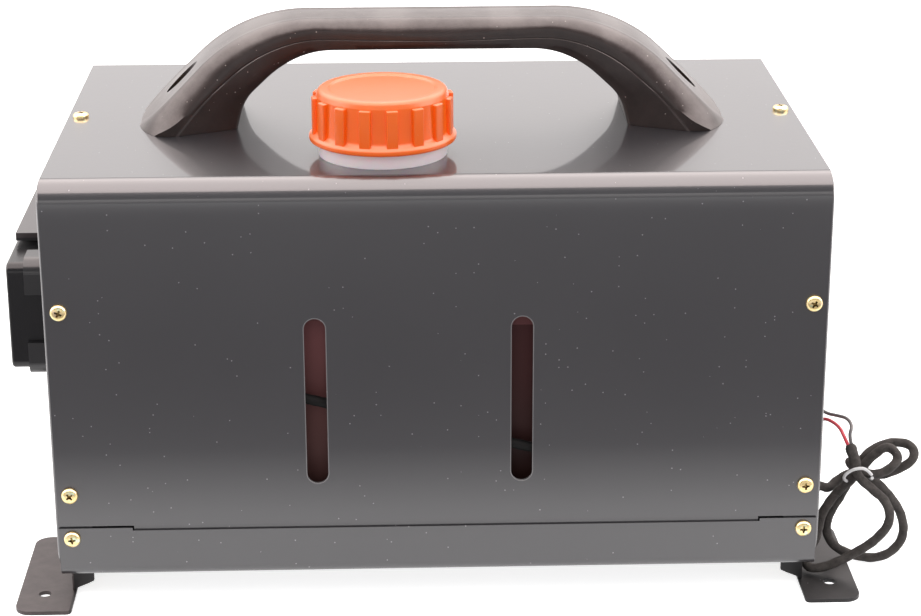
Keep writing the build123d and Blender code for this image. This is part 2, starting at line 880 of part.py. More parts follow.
with BuildPart() as cap_liner:
    with BuildSketch(Plane.XY.offset(cap_ceiling - liner_thickness)):
        with Locations((neck_x, neck_y)):
            Circle(neck_radius)
    extrude(amount=liner_thickness)
cap_liner.part.label = "cap_liner"
export_step(cap_liner.part, "parts/cap_liner.step")

with BuildPart() as divider_plate:
    with BuildSketch(Plane.XZ.offset(-tank_back)):
        with Locations((divider_left + divider_width / 2, tray_floor + divider_height / 2)):
            RectangleRounded(divider_width, divider_height, 2 * divider_foot)
        with Locations((divider_left + divider_width / 2, tray_floor + divider_height / 4)):
            Rectangle(divider_width, divider_height / 2)
    extrude(amount=-sheet)
    with BuildSketch(Plane.XY.offset(tray_floor)):
        with Locations((divider_left + divider_width / 2, tank_back + divider_foot / 2)):
            Rectangle(divider_width, divider_foot)
    extrude(amount=sheet)
divider_plate.part.label = "divider_plate"
export_step(divider_plate.part, "parts/divider_plate.step")

with BuildPart() as tank_straps:
    strap_front = tank_back - tank_depth
    strap_rear = tank_back + sheet
    for side in (-1, 1):
        strap_x = tank_left + tank_width / 2 + side * strap_spacing / 2 - strap_width / 2
        with BuildSketch(Plane.YZ.offset(strap_x)):
            with BuildLine():
                over = FilletPolyline(
                    (tank_back, tray_floor),
                    (strap_front - strap_sheet, tray_floor),
                    (strap_front - strap_sheet, tank_top + strap_sheet),
                    (strap_rear + strap_sheet, tank_top + strap_sheet),
                    (strap_rear + strap_sheet, tank_top - divider_foot),
                    radius=(tank_round + strap_sheet, tank_round + strap_sheet, 2 * strap_sheet),
                )
                inside = FilletPolyline(
                    (tank_back, tank_low),
                    (strap_front, tank_low),
                    (strap_front, tank_top),
                    (strap_rear, tank_top),
                    (strap_rear, tank_top - divider_foot),
                    radius=(tank_round, tank_round, strap_sheet),
                )
                Line(over @ 0, inside @ 0)
                Line(over @ 1, inside @ 1)
            make_face()
        extrude(amount=strap_width)
tank_straps.part.label = "tank_straps"
export_step(tank_straps.part, "parts/tank_straps.step")

# ---------------------------------------------------------------- fuel line: dip tube, filter, pump, hoses
hose_level = tank_top + neck_flange_thickness + 4
with BuildPart() as tank_outlet:
    with BuildSketch(Plane.XY.offset(tank_top)):
        with Locations((tank_outlet_x, tank_middle)):
            Circle(fitting_radius)
    extrude(amount=neck_flange_thickness)
    with BuildSketch(Plane.XY.offset(tank_top)):
        with Locations((tank_outlet_x, tank_middle)):
            Circle(dip_tube_radius * 2)
    extrude(amount=fitting_length)
    with BuildSketch(Plane.XY.offset(tank_low + 3 * tank_wall)):
        with Locations((tank_outlet_x, tank_middle)):
            Circle(dip_tube_radius)
    extrude(amount=tank_height - 3 * tank_wall)
    with BuildSketch(Plane.YZ.offset(tank_outlet_x)):
        with Locations((tank_middle, hose_level)):
            Circle(barb_radius)
    extrude(amount=2 * dip_tube_radius + barb_length)
tank_outlet.part.label = "tank_outlet"
export_step(tank_outlet.part, "parts/tank_outlet.step")


def turned(x, y, low, outline):
    """Solid of revolution about a vertical axis: an outline of radius and height above a base."""
    with BuildPart() as lathe:
        with BuildSketch(Plane(origin=(x, y, low), x_dir=(1, 0, 0), z_dir=(0, -1, 0))):
            with BuildLine():
                Polyline(*outline, close=True)
            make_face()
        revolve(axis=Axis((x, y, 0), (0, 0, 1)))
    return lathe.part


filter_cone = filter_radius * 0.6
with BuildPart() as fuel_filter:
    add(turned(filter_x, filter_y, filter_low, [
        (fuel_way, -barb_length),
        (barb_radius, -barb_length),
        (barb_radius, 0),
        (filter_radius, filter_cone),
        (filter_radius, filter_length - filter_cone),
        (barb_radius, filter_length),
        (barb_radius, filter_length + barb_length),
        (fuel_way, filter_length + barb_length),
        (fuel_way, filter_length - 1),
        (filter_radius - 1.5, filter_length - filter_cone - 1),
        (filter_radius - 1.5, filter_cone + 1),
        (fuel_way, 1),
    ]))
fuel_filter.part.label = "fuel_filter"
export_step(fuel_filter.part, "parts/fuel_filter.step")

chamber_high = pump_length - chamber_low
with BuildPart() as fuel_pump:
    add(turned(pump_x, pump_y, pump_low, [
        (fuel_way, -fitting_length - barb_length),
        (barb_radius, -fitting_length - barb_length),
        (barb_radius, -fitting_length),
        (fitting_radius, -fitting_length),
        (fitting_radius, 0),
        (pump_radius, 0),
        (pump_radius, pump_length),
        (fitting_radius, pump_length),
        (fitting_radius, pump_length + fitting_length),
        (barb_radius, pump_length + fitting_length),
        (barb_radius, pump_length + fitting_length + barb_length),
        (fuel_way, pump_length + fitting_length + barb_length),
        (fuel_way, chamber_high),
        (pump_bore, chamber_high),
        (pump_bore, chamber_low),
        (fuel_way, chamber_low),
    ]))
    with Locations((pump_x - pump_radius, pump_y, pump_low + pump_length * 0.8)):
        Box(pump_radius, fitting_radius, fitting_radius)
    with BuildSketch(Plane.XY.offset(pump_low + chamber_low)):
        with Locations((pump_x, pump_y)):
            Circle(pump_bore)
    extrude(amount=chamber_high - chamber_low, mode=Mode.SUBTRACT)
fuel_pump.part.label = "fuel_pump"
export_step(fuel_pump.part, "parts/fuel_pump.step")

plunger_low = pump_low + chamber_low
with BuildPart() as pump_plunger:
    add(turned(pump_x, pump_y, plunger_low, [
        (fuel_way, 0),
        (pump_bore - plunger_gap, 0),
        (pump_bore - plunger_gap, plunger_length),
        (fuel_way, plunger_length),
    ]))
pump_plunger.part.label = "pump_plunger"
export_step(pump_plunger.part, "parts/pump_plunger.step")

with BuildPart() as pump_spring:
    add(turned(pump_x, pump_y, plunger_low + plunger_length, [
        (spring_radius - spring_wire, 0),
        (spring_radius, 0),
        (spring_radius, chamber_high - chamber_low - plunger_length),
        (spring_radius - spring_wire, chamber_high - chamber_low - plunger_length),
    ]))
pump_spring.part.label = "pump_spring"
export_step(pump_spring.part, "parts/pump_spring.step")

clamp_level = pump_low + pump_length / 2
with BuildPart() as pump_clamp:
    with BuildSketch(Plane.XY.offset(clamp_level - clamp_height / 2)):
        with Locations((pump_x, pump_y)):
            Circle(pump_radius + clamp_band)
        with Locations(((pump_x + panel_inside) / 2, pump_y)):
            Rectangle(panel_inside - pump_x, clamp_band)
        with Locations((panel_inside - clamp_band / 2, pump_y)):
            Rectangle(clamp_band, clamp_height)
        with Locations((pump_x, pump_y)):
            Circle(pump_radius + fit_play, mode=Mode.SUBTRACT)
    extrude(amount=clamp_height)
    with BuildSketch(Plane.YZ.offset(panel_inside - case_screw_length)):
        with Locations((pump_y, clamp_level)):
            Circle(case_hole)
    extrude(amount=case_screw_length, mode=Mode.SUBTRACT)
pump_clamp.part.label = "pump_clamp"
export_step(pump_clamp.part, "parts/pump_clamp.step")


def hose(route, bends):
    """Round fuel hose with its bore, along straight runs joined by arcs."""
    with BuildPart() as tube:
        with BuildLine() as path:
            FilletPolyline(*route, radius=bends)
        with BuildSketch(Plane(origin=path.line @ 0, z_dir=path.line % 0)):
            Circle(hose_radius)
            Circle(barb_radius + hose_gap, mode=Mode.SUBTRACT)
        sweep()
    return tube.part


with BuildPart() as tank_hose:
    add(hose([
        (tank_outlet_x + 2 * dip_tube_radius + butt_gap, tank_middle, hose_level),
        (filter_x, tank_middle, hose_level),
        (filter_x, filter_y, hose_level),
        (filter_x, filter_y, filter_low + filter_length + butt_gap),
    ], hose_bend))
tank_hose.part.label = "tank_hose"
export_step(tank_hose.part, "parts/tank_hose.step")

with BuildPart() as pump_hose:
    add(hose([
        (filter_x, filter_y, filter_low - butt_gap),
        (filter_x, filter_y, pump_hose_level),
        (pump_x, pump_y, pump_hose_level),
        (pump_x, pump_y, pump_low - fitting_length - butt_gap),
    ], hose_bend))
pump_hose.part.label = "pump_hose"
export_step(pump_hose.part, "parts/pump_hose.step")

with BuildPart() as heater_hose:
    add(hose([
        (pump_x, pump_y, pump_low + pump_length + fitting_length + butt_gap),
        (pump_x, pump_y, heater_hose_level),
        (pump_x, heater_y, heater_hose_level),
        (fuel_pipe_x, heater_y, heater_hose_level),
        (fuel_pipe_x, heater_y, heater_z + heater_height / 2 + butt_gap),
    ], heater_hose_bend))
heater_hose.part.label = "heater_hose"
export_step(heater_hose.part, "parts/heater_hose.step")

# ---------------------------------------------------------------- heater core
def heater_casing(keep):
    """Upper or lower half of the plastic casing round the heater core."""
    with BuildPart() as casing:
        with BuildSketch(across(heater_left)):
            RectangleRounded(heater_width, heater_height, heater_round)
        extrude(amount=heater_length)
        fillet(casing.faces().filter_by(Axis.X).edges(), heater_wall)
        with BuildSketch(across(heater_left + heater_wall)):
            RectangleRounded(
                heater_width - 2 * heater_wall, heater_height - 2 * heater_wall, heater_round - heater_wall
            )
        extrude(amount=heater_length - 2 * heater_wall, mode=Mode.SUBTRACT)
        with BuildSketch(across(heater_left)):
            Circle(inlet_radius)
        extrude(amount=heater_wall, mode=Mode.SUBTRACT)
        with BuildSketch(across(heater_right)):
            Circle(outlet_radius - spigot_step + fit_play)
        extrude(amount=-heater_wall, mode=Mode.SUBTRACT)
        with BuildSketch(Plane.XY.offset(tray_floor)):
            with Locations((block_middle, heater_y)):
                Rectangle(block_right - block_left + 2 * block_gap, foot_block + 2 * block_gap)
        extrude(amount=gasket_thickness + 2 * heater_wall, mode=Mode.SUBTRACT)
        with BuildSketch(Plane.XY.offset(heater_z)):
            with Locations((fuel_pipe_x, heater_y)):
                Circle(barb_radius + fit_play)
        extrude(amount=heater_height, mode=Mode.SUBTRACT)
        split(bisect_by=Plane.XY.offset(heater_z), keep=keep)
    return casing.part


with BuildPart() as heater_lower_shell:
    add(heater_casing(Keep.BOTTOM))
heater_lower_shell.part.label = "heater_lower_shell"
export_step(heater_lower_shell.part, "parts/heater_lower_shell.step")

with BuildPart() as heater_upper_shell:
    add(heater_casing(Keep.TOP))
heater_upper_shell.part.label = "heater_upper_shell"
export_step(heater_upper_shell.part, "parts/heater_upper_shell.step")

core_low = tray_floor + gasket_thickness
block_top = heater_z - exchanger_bore


def core_foot(left, right):
    """Cast foot block between two places along the heater, from the gasket up into the round core."""
    with BuildPart() as foot:
        with BuildSketch(Plane.XY.offset(core_low)):
            with Locations(((left + right) / 2, heater_y)):
                Rectangle(right - left, foot_block)
        extrude(amount=block_top - core_low)
    return foot.part


def foot_bores(x, pipe_radius):
    """Socket for a pipe in the foot block, the way above it, and the four blind holes of its bolts."""
    with BuildPart() as bores:
        with BuildSketch(Plane.XY.offset(core_low)):
            with Locations((x, heater_y)):
                Circle(pipe_radius - spigot_step + bearing_gap)
        extrude(amount=stub_socket)
        with BuildSketch(Plane.XY.offset(core_low)):
            with Locations((x, heater_y)):
                Circle(pipe_radius - stub_wall)
        extrude(amount=block_top - core_low + stub_socket)
        with BuildSketch(Plane.XY.offset(core_low)):
            with Locations((block_middle, heater_y)):
                with GridLocations(heater_bolt_span_x, heater_bolt_span_y, 2, 2):
                    Circle((heater_bolt + thread_play) / 2)
        extrude(amount=heater_bolt_grip + 1)
    return bores.part


with BuildPart() as heat_exchanger:
    with BuildSketch(across(exchanger_left)):
        Circle(exchanger_core)
    extrude(amount=exchanger_length)
    with Locations(across(exchanger_left + fin_setback + (exchanger_length - fin_setback) / 2)):
        with PolarLocations((exchanger_core + fin_reach) / 2 - 1, fin_count):
            Box(fin_reach - exchanger_core + 2, fin_thickness, exchanger_length - fin_setback)
    add(core_foot(exchanger_left, block_right))
    with BuildSketch(Plane.XY.offset(heater_z + exchanger_bore)):
        with Locations((fuel_pipe_x, heater_y)):
            Circle(barb_radius)
    extrude(amount=heater_height / 2 - exchanger_bore + barb_length)
    with BuildSketch(across(exchanger_left)):
        Circle(exchanger_bore)
    extrude(amount=exchanger_length - exchanger_end, mode=Mode.SUBTRACT)
    add(foot_bores(exhaust_x, exhaust_radius), mode=Mode.SUBTRACT)
    with BuildSketch(Plane(origin=(glow_x, heater_y, heater_z), z_dir=(0, 1, 1))):
        Circle(glow_radius + fit_play)
    extrude(amount=fin_reach, mode=Mode.SUBTRACT)
    with BuildSketch(Plane(origin=(glow_x, heater_y, heater_z), z_dir=(0, 1, 1)).offset(exchanger_core)):
        Circle(2 * glow_radius + fit_play)
    extrude(amount=fin_reach, mode=Mode.SUBTRACT)
heat_exchanger.part.label = "heat_exchanger"
export_step(heat_exchanger.part, "parts/heat_exchanger.step")

with BuildPart() as burner_tube:
    with BuildSketch(across(exchanger_left)):
        Circle(exchanger_bore - fit_play)
    extrude(amount=burner_wall)
    with BuildSketch(across(exchanger_left)):
        Circle(burner_radius)
    extrude(amount=burner_length)
    with BuildSketch(across(exchanger_left + burner_wall)):
        Circle(burner_radius - burner_wall)
    extrude(amount=burner_length, mode=Mode.SUBTRACT)
    with BuildSketch(across(exchanger_left)):
        Circle(burner_air_hole)
    extrude(amount=burner_wall, mode=Mode.SUBTRACT)
    with BuildSketch(Plane(origin=(glow_x, heater_y, heater_z), z_dir=(0, 1, 1))):
        Circle(glow_radius + butt_gap)
    extrude(amount=fin_reach, mode=Mode.SUBTRACT)
    for ring in range(burner_rings):
        ring_x = exchanger_left + burner_length * (0.5 + 0.1 * ring)
        with Locations(across(ring_x)):
            with PolarLocations(burner_radius, 8, start_angle=ring * 360 / 16):
                Cylinder(burner_hole, 4 * burner_wall, rotation=(0, 90, 0), mode=Mode.SUBTRACT)
burner_tube.part.label = "burner_tube"
export_step(burner_tube.part, "parts/burner_tube.step")

with BuildPart() as glow_plug:
    tip = Plane(origin=(glow_x, heater_y, heater_z), z_dir=(0, 1, 1))
    with BuildSketch(tip.offset(burner_radius / 2)):
        Circle(glow_radius)
    extrude(amount=exchanger_core - burner_radius / 2)
    with BuildSketch(tip.offset(exchanger_core)):
        RegularPolygon(glow_radius * 1.5, 6, major_radius=False)
    extrude(amount=fin_reach - exchanger_core)
glow_plug.part.label = "glow_plug"
export_step(glow_plug.part, "parts/glow_plug.step")

with BuildPart() as blower_housing:
    with BuildSketch(across(housing_left)):
        Circle(housing_radius)
    extrude(amount=exchanger_left - housing_left)
    add(core_foot(block_left, exchanger_left))
    with BuildSketch(across(housing_left + housing_wall)):
        Circle(housing_cavity)
    extrude(amount=exchanger_left - housing_left, mode=Mode.SUBTRACT)
    with BuildSketch(across(housing_left)):
        Circle(shaft_radius + fit_play)
    extrude(amount=housing_wall, mode=Mode.SUBTRACT)
    add(foot_bores(intake_x, intake_radius), mode=Mode.SUBTRACT)
blower_housing.part.label = "blower_housing"
export_step(blower_housing.part, "parts/blower_housing.step")

motor_left = housing_left - motor_length
with BuildPart() as blower_motor:
    with BuildSketch(across(motor_left)):
        Circle(motor_radius)
    extrude(amount=motor_length)
    fillet(blower_motor.faces().sort_by(Axis.X)[0].edges(), heater_wall)
    with BuildSketch(across(motor_left)):
        Circle(shaft_radius + bearing_gap)
    extrude(amount=motor_length, mode=Mode.SUBTRACT)
blower_motor.part.label = "blower_motor"
export_step(blower_motor.part, "parts/blower_motor.step")

fan_left = motor_left - fan_to_motor - fan_width
air_fan_left = housing_left + housing_wall + air_fan_gap
with BuildPart() as motor_shaft:
    with BuildSketch(across(fan_left)):
        Circle(shaft_radius)
    extrude(amount=air_fan_left + air_fan_width - fan_left)
motor_shaft.part.label = "motor_shaft"
export_step(motor_shaft.part, "parts/motor_shaft.step")


def fan_wheel(left, width, hub, reach, blades, pitch):
    """Fan wheel on the heater's axis: a hub with its shaft hole and a ring of pitched blades."""
    with BuildPart() as wheel:
        with BuildSketch(across(left)):
            Circle(hub)
        extrude(amount=width)
        with Locations(across(left + width / 2)):
            with PolarLocations((hub + reach) / 2 - 0.5, blades):
                Box(reach - hub + 1, 1.6, 0.9 * width, rotation=(pitch, 0, 0))
        with BuildSketch(across(left)):
            Circle(shaft_radius + bearing_gap / 2)
        extrude(amount=width, mode=Mode.SUBTRACT)
    return wheel.part


with BuildPart() as hot_air_fan:
    add(fan_wheel(fan_left, fan_width, fan_hub, fan_radius, fan_blades, 38))
hot_air_fan.part.label = "hot_air_fan"
export_step(hot_air_fan.part, "parts/hot_air_fan.step")

with BuildPart() as combustion_fan:
    add(fan_wheel(air_fan_left, air_fan_width, air_fan_hub, air_fan_radius, air_fan_blades, 0))
combustion_fan.part.label = "combustion_fan"
export_step(combustion_fan.part, "parts/combustion_fan.step")

with BuildPart() as control_unit:
    unit_top = heater_z + heater_height / 2 - heater_wall
    with Locations((motor_left + motor_length / 2, heater_y, unit_top - unit_height / 2)):
        Box(unit_length, unit_width, unit_height)
    chamfer(control_unit.edges().filter_by(Axis.Z), 2)
    with Locations((motor_left + motor_length / 2, heater_y, unit_top - unit_height)):
        with GridLocations(unit_length / 3, unit_width / 2, 3, 2):
            Box(unit_length / 5, unit_width / 4, 4, align=(Align.CENTER, Align.CENTER, Align.MAX))
control_unit.part.label = "control_unit"
export_step(control_unit.part, "parts/control_unit.step")

with BuildPart() as inlet_guard:
    with BuildSketch(across(heater_left)):
        Circle(inlet_radius + guard_bar)
        Circle(inlet_radius - guard_bar, mode=Mode.SUBTRACT)
        for ring in (0.75, 0.5, 0.25):
            ring_radius = inlet_radius * ring
            with BuildSketch(mode=Mode.PRIVATE) as guard_ring:
                Circle(ring_radius)
                Circle(ring_radius - guard_bar, mode=Mode.SUBTRACT)
            add(guard_ring.sketch)
        Rectangle(2 * inlet_radius, guard_bar)
        Rectangle(guard_bar, 2 * inlet_radius)
    extrude(amount=-guard_thickness)
inlet_guard.part.label = "inlet_guard"
export_step(inlet_guard.part, "parts/inlet_guard.step")

with BuildPart() as outlet_nozzle:
    with BuildSketch(across(heater_right - heater_wall)):
        Circle(outlet_radius - spigot_step)
    extrude(amount=panel_face + spigot_clear - heater_right + heater_wall)
    with BuildSketch(across(panel_face + spigot_clear)):
        Circle(outlet_radius)
    extrude(amount=outlet_reach - spigot_clear)
    with BuildSketch(across(heater_right)):
        Circle(outlet_radius + 2 * heater_wall)
    extrude(amount=heater_wall)
    with BuildSketch(across(heater_right - heater_wall)):
        Circle(outlet_radius - outlet_wall)
    extrude(amount=heater_length, mode=Mode.SUBTRACT)
    with BuildSketch(across(heater_right)):
        Rectangle(2 * outlet_radius - outlet_wall, guard_bar)
        Rectangle(guard_bar, 2 * outlet_radius - outlet_wall)
    extrude(amount=guard_thickness)
outlet_nozzle.part.label = "outlet_nozzle"
export_step(outlet_nozzle.part, "parts/outlet_nozzle.step")

with BuildPart() as base_gasket:
    with BuildSketch(Plane.XY.offset(tray_floor)):
        with Locations((block_middle, heater_y)):
            RectangleRounded(
                block_right - block_left + 2 * gasket_margin, foot_block + 2 * gasket_margin, gasket_margin
            )
            with GridLocations(heater_bolt_span_x, heater_bolt_span_y, 2, 2):
                Circle((heater_bolt + screw_clearance) / 2, mode=Mode.SUBTRACT)
        with Locations((exhaust_x, heater_y)):
            Circle(exhaust_radius + stub_clearance, mode=Mode.SUBTRACT)
        with Locations((intake_x, heater_y)):
            Circle(intake_radius + stub_clearance, mode=Mode.SUBTRACT)
    extrude(amount=gasket_thickness)
base_gasket.part.label = "base_gasket"
export_step(base_gasket.part, "parts/base_gasket.step")


def pipe_stub(x, radius):
    """Pipe pressed into the foot block and pointing down through the tray, clear of the floor."""
    top = core_low + stub_socket
    with BuildPart() as stub:
        with BuildSketch(Plane.XY.offset(stub_floor_gap)):
            with Locations((x, heater_y)):
                Circle(radius)
        extrude(amount=stub_spigot)
        with BuildSketch(Plane.XY.offset(stub_floor_gap + stub_spigot)):
            with Locations((x, heater_y)):
                Circle(radius - spigot_step)
        extrude(amount=top - stub_floor_gap - stub_spigot)
        with BuildSketch(Plane.XY.offset(stub_floor_gap)):
            with Locations((x, heater_y)):
                Circle(radius - stub_wall)
        extrude(amount=top - stub_floor_gap, mode=Mode.SUBTRACT)
    return stub.part


with BuildPart() as exhaust_stub:
    add(pipe_stub(exhaust_x, exhaust_radius))
exhaust_stub.part.label = "exhaust_stub"
export_step(exhaust_stub.part, "parts/exhaust_stub.step")

with BuildPart() as air_intake_stub:
    add(pipe_stub(intake_x, intake_radius))
air_intake_stub.part.label = "air_intake_stub"
export_step(air_intake_stub.part, "parts/air_intake_stub.step")

with BuildPart() as heater_bolts:
    with BuildSketch(Plane.XY.offset(tray_bottom)):
        with Locations((block_middle, heater_y)):
            with GridLocations(heater_bolt_span_x, heater_bolt_span_y, 2, 2):
                RegularPolygon(heater_bolt * 0.83, 6, major_radius=False)
    extrude(amount=-heater_bolt * 0.65)
    with BuildSketch(Plane.XY.offset(tray_bottom)):
        with Locations((block_middle, heater_y)):
            with GridLocations(heater_bolt_span_x, heater_bolt_span_y, 2, 2):
                Circle(heater_bolt / 2)
    extrude(amount=sheet + gasket_thickness + heater_bolt_grip)
heater_bolts.part.label = "heater_bolts"
export_step(heater_bolts.part, "parts/heater_bolts.step")


# ---------------------------------------------------------------- hand controller on its holder
def beside(x):
    """Plane facing along the case's length, centred on the hand controller."""
    return Plane(origin=(x, controller_y, controller_z), x_dir=(0, 1, 0), z_dir=(1, 0, 0))


def controller_box(inset):
    """Outline of the controller, drawn in by this much all round."""
    with BuildSketch() as outline:
        RectangleRounded(
            controller_length - 2 * inset, controller_height - 2 * inset, controller_round - inset
        )
    return outline.sketch


cable_spot = (cable_hole_y - controller_y, cable_hole_z - controller_z)
with BuildPart() as controller_holder:
    with BuildSketch(beside(controller_right)):
        add(controller_box(-holder_margin))
    extrude(amount=holder_sheet)
    with BuildSketch(beside(controller_right)):
        add(controller_box(-clip_gap - holder_lip))
        add(controller_box(-clip_gap), mode=Mode.SUBTRACT)
        Rectangle(controller_length - 2 * clip_length, 2 * controller_height, mode=Mode.SUBTRACT)
        Rectangle(2 * controller_length, controller_height - 2 * clip_length, mode=Mode.SUBTRACT)
    extrude(amount=-clip_reach)
    shelf_low = controller_z + controller_height / 2 + holder_top_gap
    with BuildSketch(Plane.YZ.offset(-panel_face)):
        with Locations(((shelf_front + shelf_back) / 2, shelf_low + shelf_thickness / 2)):
            Rectangle(shelf_back - shelf_front, shelf_thickness)
    extrude(amount=-holder_sheet - shelf_reach)
    with BuildSketch(beside(controller_right)):
        with Locations(cable_spot):
            Circle(harness_radius + soft_gap)
    extrude(amount=holder_sheet, mode=Mode.SUBTRACT)
controller_holder.part.label = "controller_holder"
export_step(controller_holder.part, "parts/controller_holder.step")

with BuildPart() as controller_back:
    with BuildSketch(beside(controller_right)):
        add(controller_box(0))
    extrude(amount=controller_split_x - controller_right)
    with BuildSketch(beside(controller_right - controller_wall)):
        add(controller_box(controller_wall))
    extrude(amount=controller_split_x - controller_right, mode=Mode.SUBTRACT)
    with BuildSketch(beside(controller_right)):
        with GridLocations(post_span_y, post_span_z, 2, 2):
            Circle(post_radius)
    extrude(amount=board_back - controller_right)
    with BuildSketch(beside(controller_right)):
        with Locations(cable_spot):
            Circle(harness_radius + soft_gap)
    extrude(amount=-controller_wall, mode=Mode.SUBTRACT)
controller_back.part.label = "controller_back"
export_step(controller_back.part, "parts/controller_back.step")

with BuildPart() as controller_front:
    with BuildSketch(beside(controller_left)):
        add(controller_box(0))
    extrude(amount=controller_split)
    fillet(controller_front.faces().sort_by(Axis.X)[0].edges(), controller_edge)
    with BuildSketch(beside(controller_left + controller_wall)):
        add(controller_box(controller_wall))
    extrude(amount=controller_split, mode=Mode.SUBTRACT)
    with BuildSketch(beside(controller_left)):
        RectangleRounded(display_length + 2 * lens_seat, display_height + 2 * lens_seat, lens_corner)
    extrude(amount=lens_thickness, mode=Mode.SUBTRACT)
    with BuildSketch(beside(controller_left)):
        Rectangle(display_length, display_height)
        with GridLocations(button_span_y, button_span_z, 2, 2):
            Circle(button_radius + button_gap)
    extrude(amount=controller_wall, mode=Mode.SUBTRACT)
controller_front.part.label = "controller_front"
export_step(controller_front.part, "parts/controller_front.step")

with BuildPart() as display_lens:
    with BuildSketch(beside(controller_left)):
        RectangleRounded(
            display_length + 2 * (lens_seat - fit_play), display_height + 2 * (lens_seat - fit_play), lens_corner
        )
    extrude(amount=lens_thickness)
display_lens.part.label = "display_lens"
export_step(display_lens.part, "parts/display_lens.step")

with BuildPart() as controller_board:
    with BuildSketch(beside(board_front)):
        add(controller_box(controller_wall + board_gap))
    extrude(amount=board_thickness)
    glass_back = controller_left + lens_thickness + butt_gap
    with BuildSketch(beside(glass_back)):
        Rectangle(display_length - 2 * display_gap, display_height - 2 * display_gap)
    extrude(amount=board_front - glass_back)
    switch_top = controller_left + controller_wall + button_flange + button_stroke + switch_gap
    with BuildSketch(beside(switch_top)):
        with GridLocations(button_span_y, button_span_z, 2, 2):
            Rectangle(switch_size, switch_size)
    extrude(amount=board_front - switch_top)
controller_board.part.label = "controller_board"
export_step(controller_board.part, "parts/controller_board.step")


def push_button(side_y, side_z):
    """Round push button in the controller's face, kept in by a flange behind the wall."""
    spot = (side_y * button_span_y / 2, side_z * button_span_z / 2)
    with BuildPart() as button:
        with BuildSketch(beside(controller_left - button_rise)):
            with Locations(spot):
                Circle(button_radius)
        extrude(amount=button_rise + controller_wall + button_flange)
        fillet(button.faces().sort_by(Axis.X)[0].edges(), button_edge)
        with BuildSketch(beside(controller_left + controller_wall)):
            with Locations(spot):
                Circle(button_radius + button_flange_width)
        extrude(amount=button_flange)
    return button.part


with BuildPart() as power_button:
    add(push_button(-1, 1))
power_button.part.label = "power_button"
export_step(power_button.part, "parts/power_button.step")

with BuildPart() as set_button:
    add(push_button(-1, -1))
set_button.part.label = "set_button"
export_step(set_button.part, "parts/set_button.step")

with BuildPart() as up_button:
    add(push_button(1, 1))
up_button.part.label = "up_button"
export_step(up_button.part, "parts/up_button.step")

with BuildPart() as down_button:
    add(push_button(1, -1))
down_button.part.label = "down_button"
export_step(down_button.part, "parts/down_button.step")


# ---------------------------------------------------------------- harness, power lead and its ends
def bends(route):
    """Bend radius at each corner of a route: each arc takes the same share of its shorter run."""
    spots = [Vector(*point) for point in route]
    radii = []
    for before, corner, after in zip(spots, spots[1:], spots[2:]):
        half_turn = radians((corner - before).get_angle(after - corner)) / 2
        shorter = min((corner - before).length, (after - corner).length)
        radii.append(bend_share * shorter / tan(half_turn))
    return radii


def cord(route, radius):
    """Round cord of one radius along straight runs joined by arcs, and its middle line."""
    with BuildPart() as tube:
        with BuildLine() as path:
            FilletPolyline(*route, radius=bends(route))
        with BuildSketch(Plane(origin=path.line @ 0, z_dir=path.line % 0)):
            Circle(radius)
        sweep()
    return tube.part, path.wires()[0]


def least_gap(line, radius):
    """Least gap between a cord's own strands, measured on points 1 mm apart along it."""
    steps = int(line.length)
    spots = [line @ (step / steps) for step in range(steps + 1)]
    apart = int(6 * radius) + 1
    gaps = [(a - b).length for i, a in enumerate(spots) for b in spots[i + apart:]]
    return min(gaps) - 2 * radius


harness_solid, harness_line = cord(harness_route, harness_radius)
with BuildPart() as front_harness:
    add(harness_solid)
front_harness.part.label = "front_harness"
export_step(front_harness.part, "parts/front_harness.step")

lead_solid, lead_line = cord(lead_route, lead_radius)
with BuildPart() as power_lead:
    add(lead_solid)
power_lead.part.label = "power_lead"
export_step(power_lead.part, "parts/power_lead.step")

tie_solid, tie_line = cord(tie_route, tie_radius)
with BuildPart() as lead_tie:
    add(tie_solid)
lead_tie.part.label = "lead_tie"
export_step(lead_tie.part, "parts/lead_tie.step")

with BuildPart() as lead_grommet:
    exit_plane = Plane(origin=(panel_inside, lead_exit_y, lead_exit_z), x_dir=(0, 1, 0), z_dir=(1, 0, 0))
    with BuildSketch(exit_plane.offset(-grommet_lip)):
        Circle(grommet_radius)
    extrude(amount=grommet_lip)
    with BuildSketch(exit_plane):
        Circle(grommet_radius - grommet_lip)
    extrude(amount=sheet)
    with BuildSketch(exit_plane.offset(sheet)):
        Circle(grommet_radius)
    extrude(amount=grommet_lip)
    with BuildSketch(exit_plane.offset(lead_meet_x - panel_inside)):
        Circle(lead_radius + fit_play)
    extrude(amount=panel_face - lead_meet_x + grommet_lip, mode=Mode.SUBTRACT)
    with BuildSketch(exit_plane.offset(lead_meet_x - panel_inside)):
        Circle(harness_radius + fit_play)
    extrude(amount=-grommet_lip, mode=Mode.SUBTRACT)
lead_grommet.part.label = "lead_grommet"
export_step(lead_grommet.part, "parts/lead_grommet.step")

lead_tip = lead_line @ 1
lead_way = lead_line % 1
lead_side = lead_way.cross(Vector(0, 1, 0)).normalized() * (wire_spacing / 2)


def wire(side, route):
    """Bare wire from the lead's end face, first straight on and then along its own route."""
    start = lead_tip + lead_way * (butt_gap / 2) + lead_side * side
    straight = start + lead_way * 2 * lead_radius * bend_share * 2
    return cord([tuple(start), tuple(straight)] + route, wire_radius)


positive_solid, positive_line = wire(1, positive_route)
with BuildPart() as positive_wire:
    add(positive_solid)
positive_wire.part.label = "positive_wire"
export_step(positive_wire.part, "parts/positive_wire.step")

negative_solid, negative_line = wire(-1, negative_route)
with BuildPart() as negative_wire:
    add(negative_solid)
negative_wire.part.label = "negative_wire"
export_step(negative_wire.part, "parts/negative_wire.step")


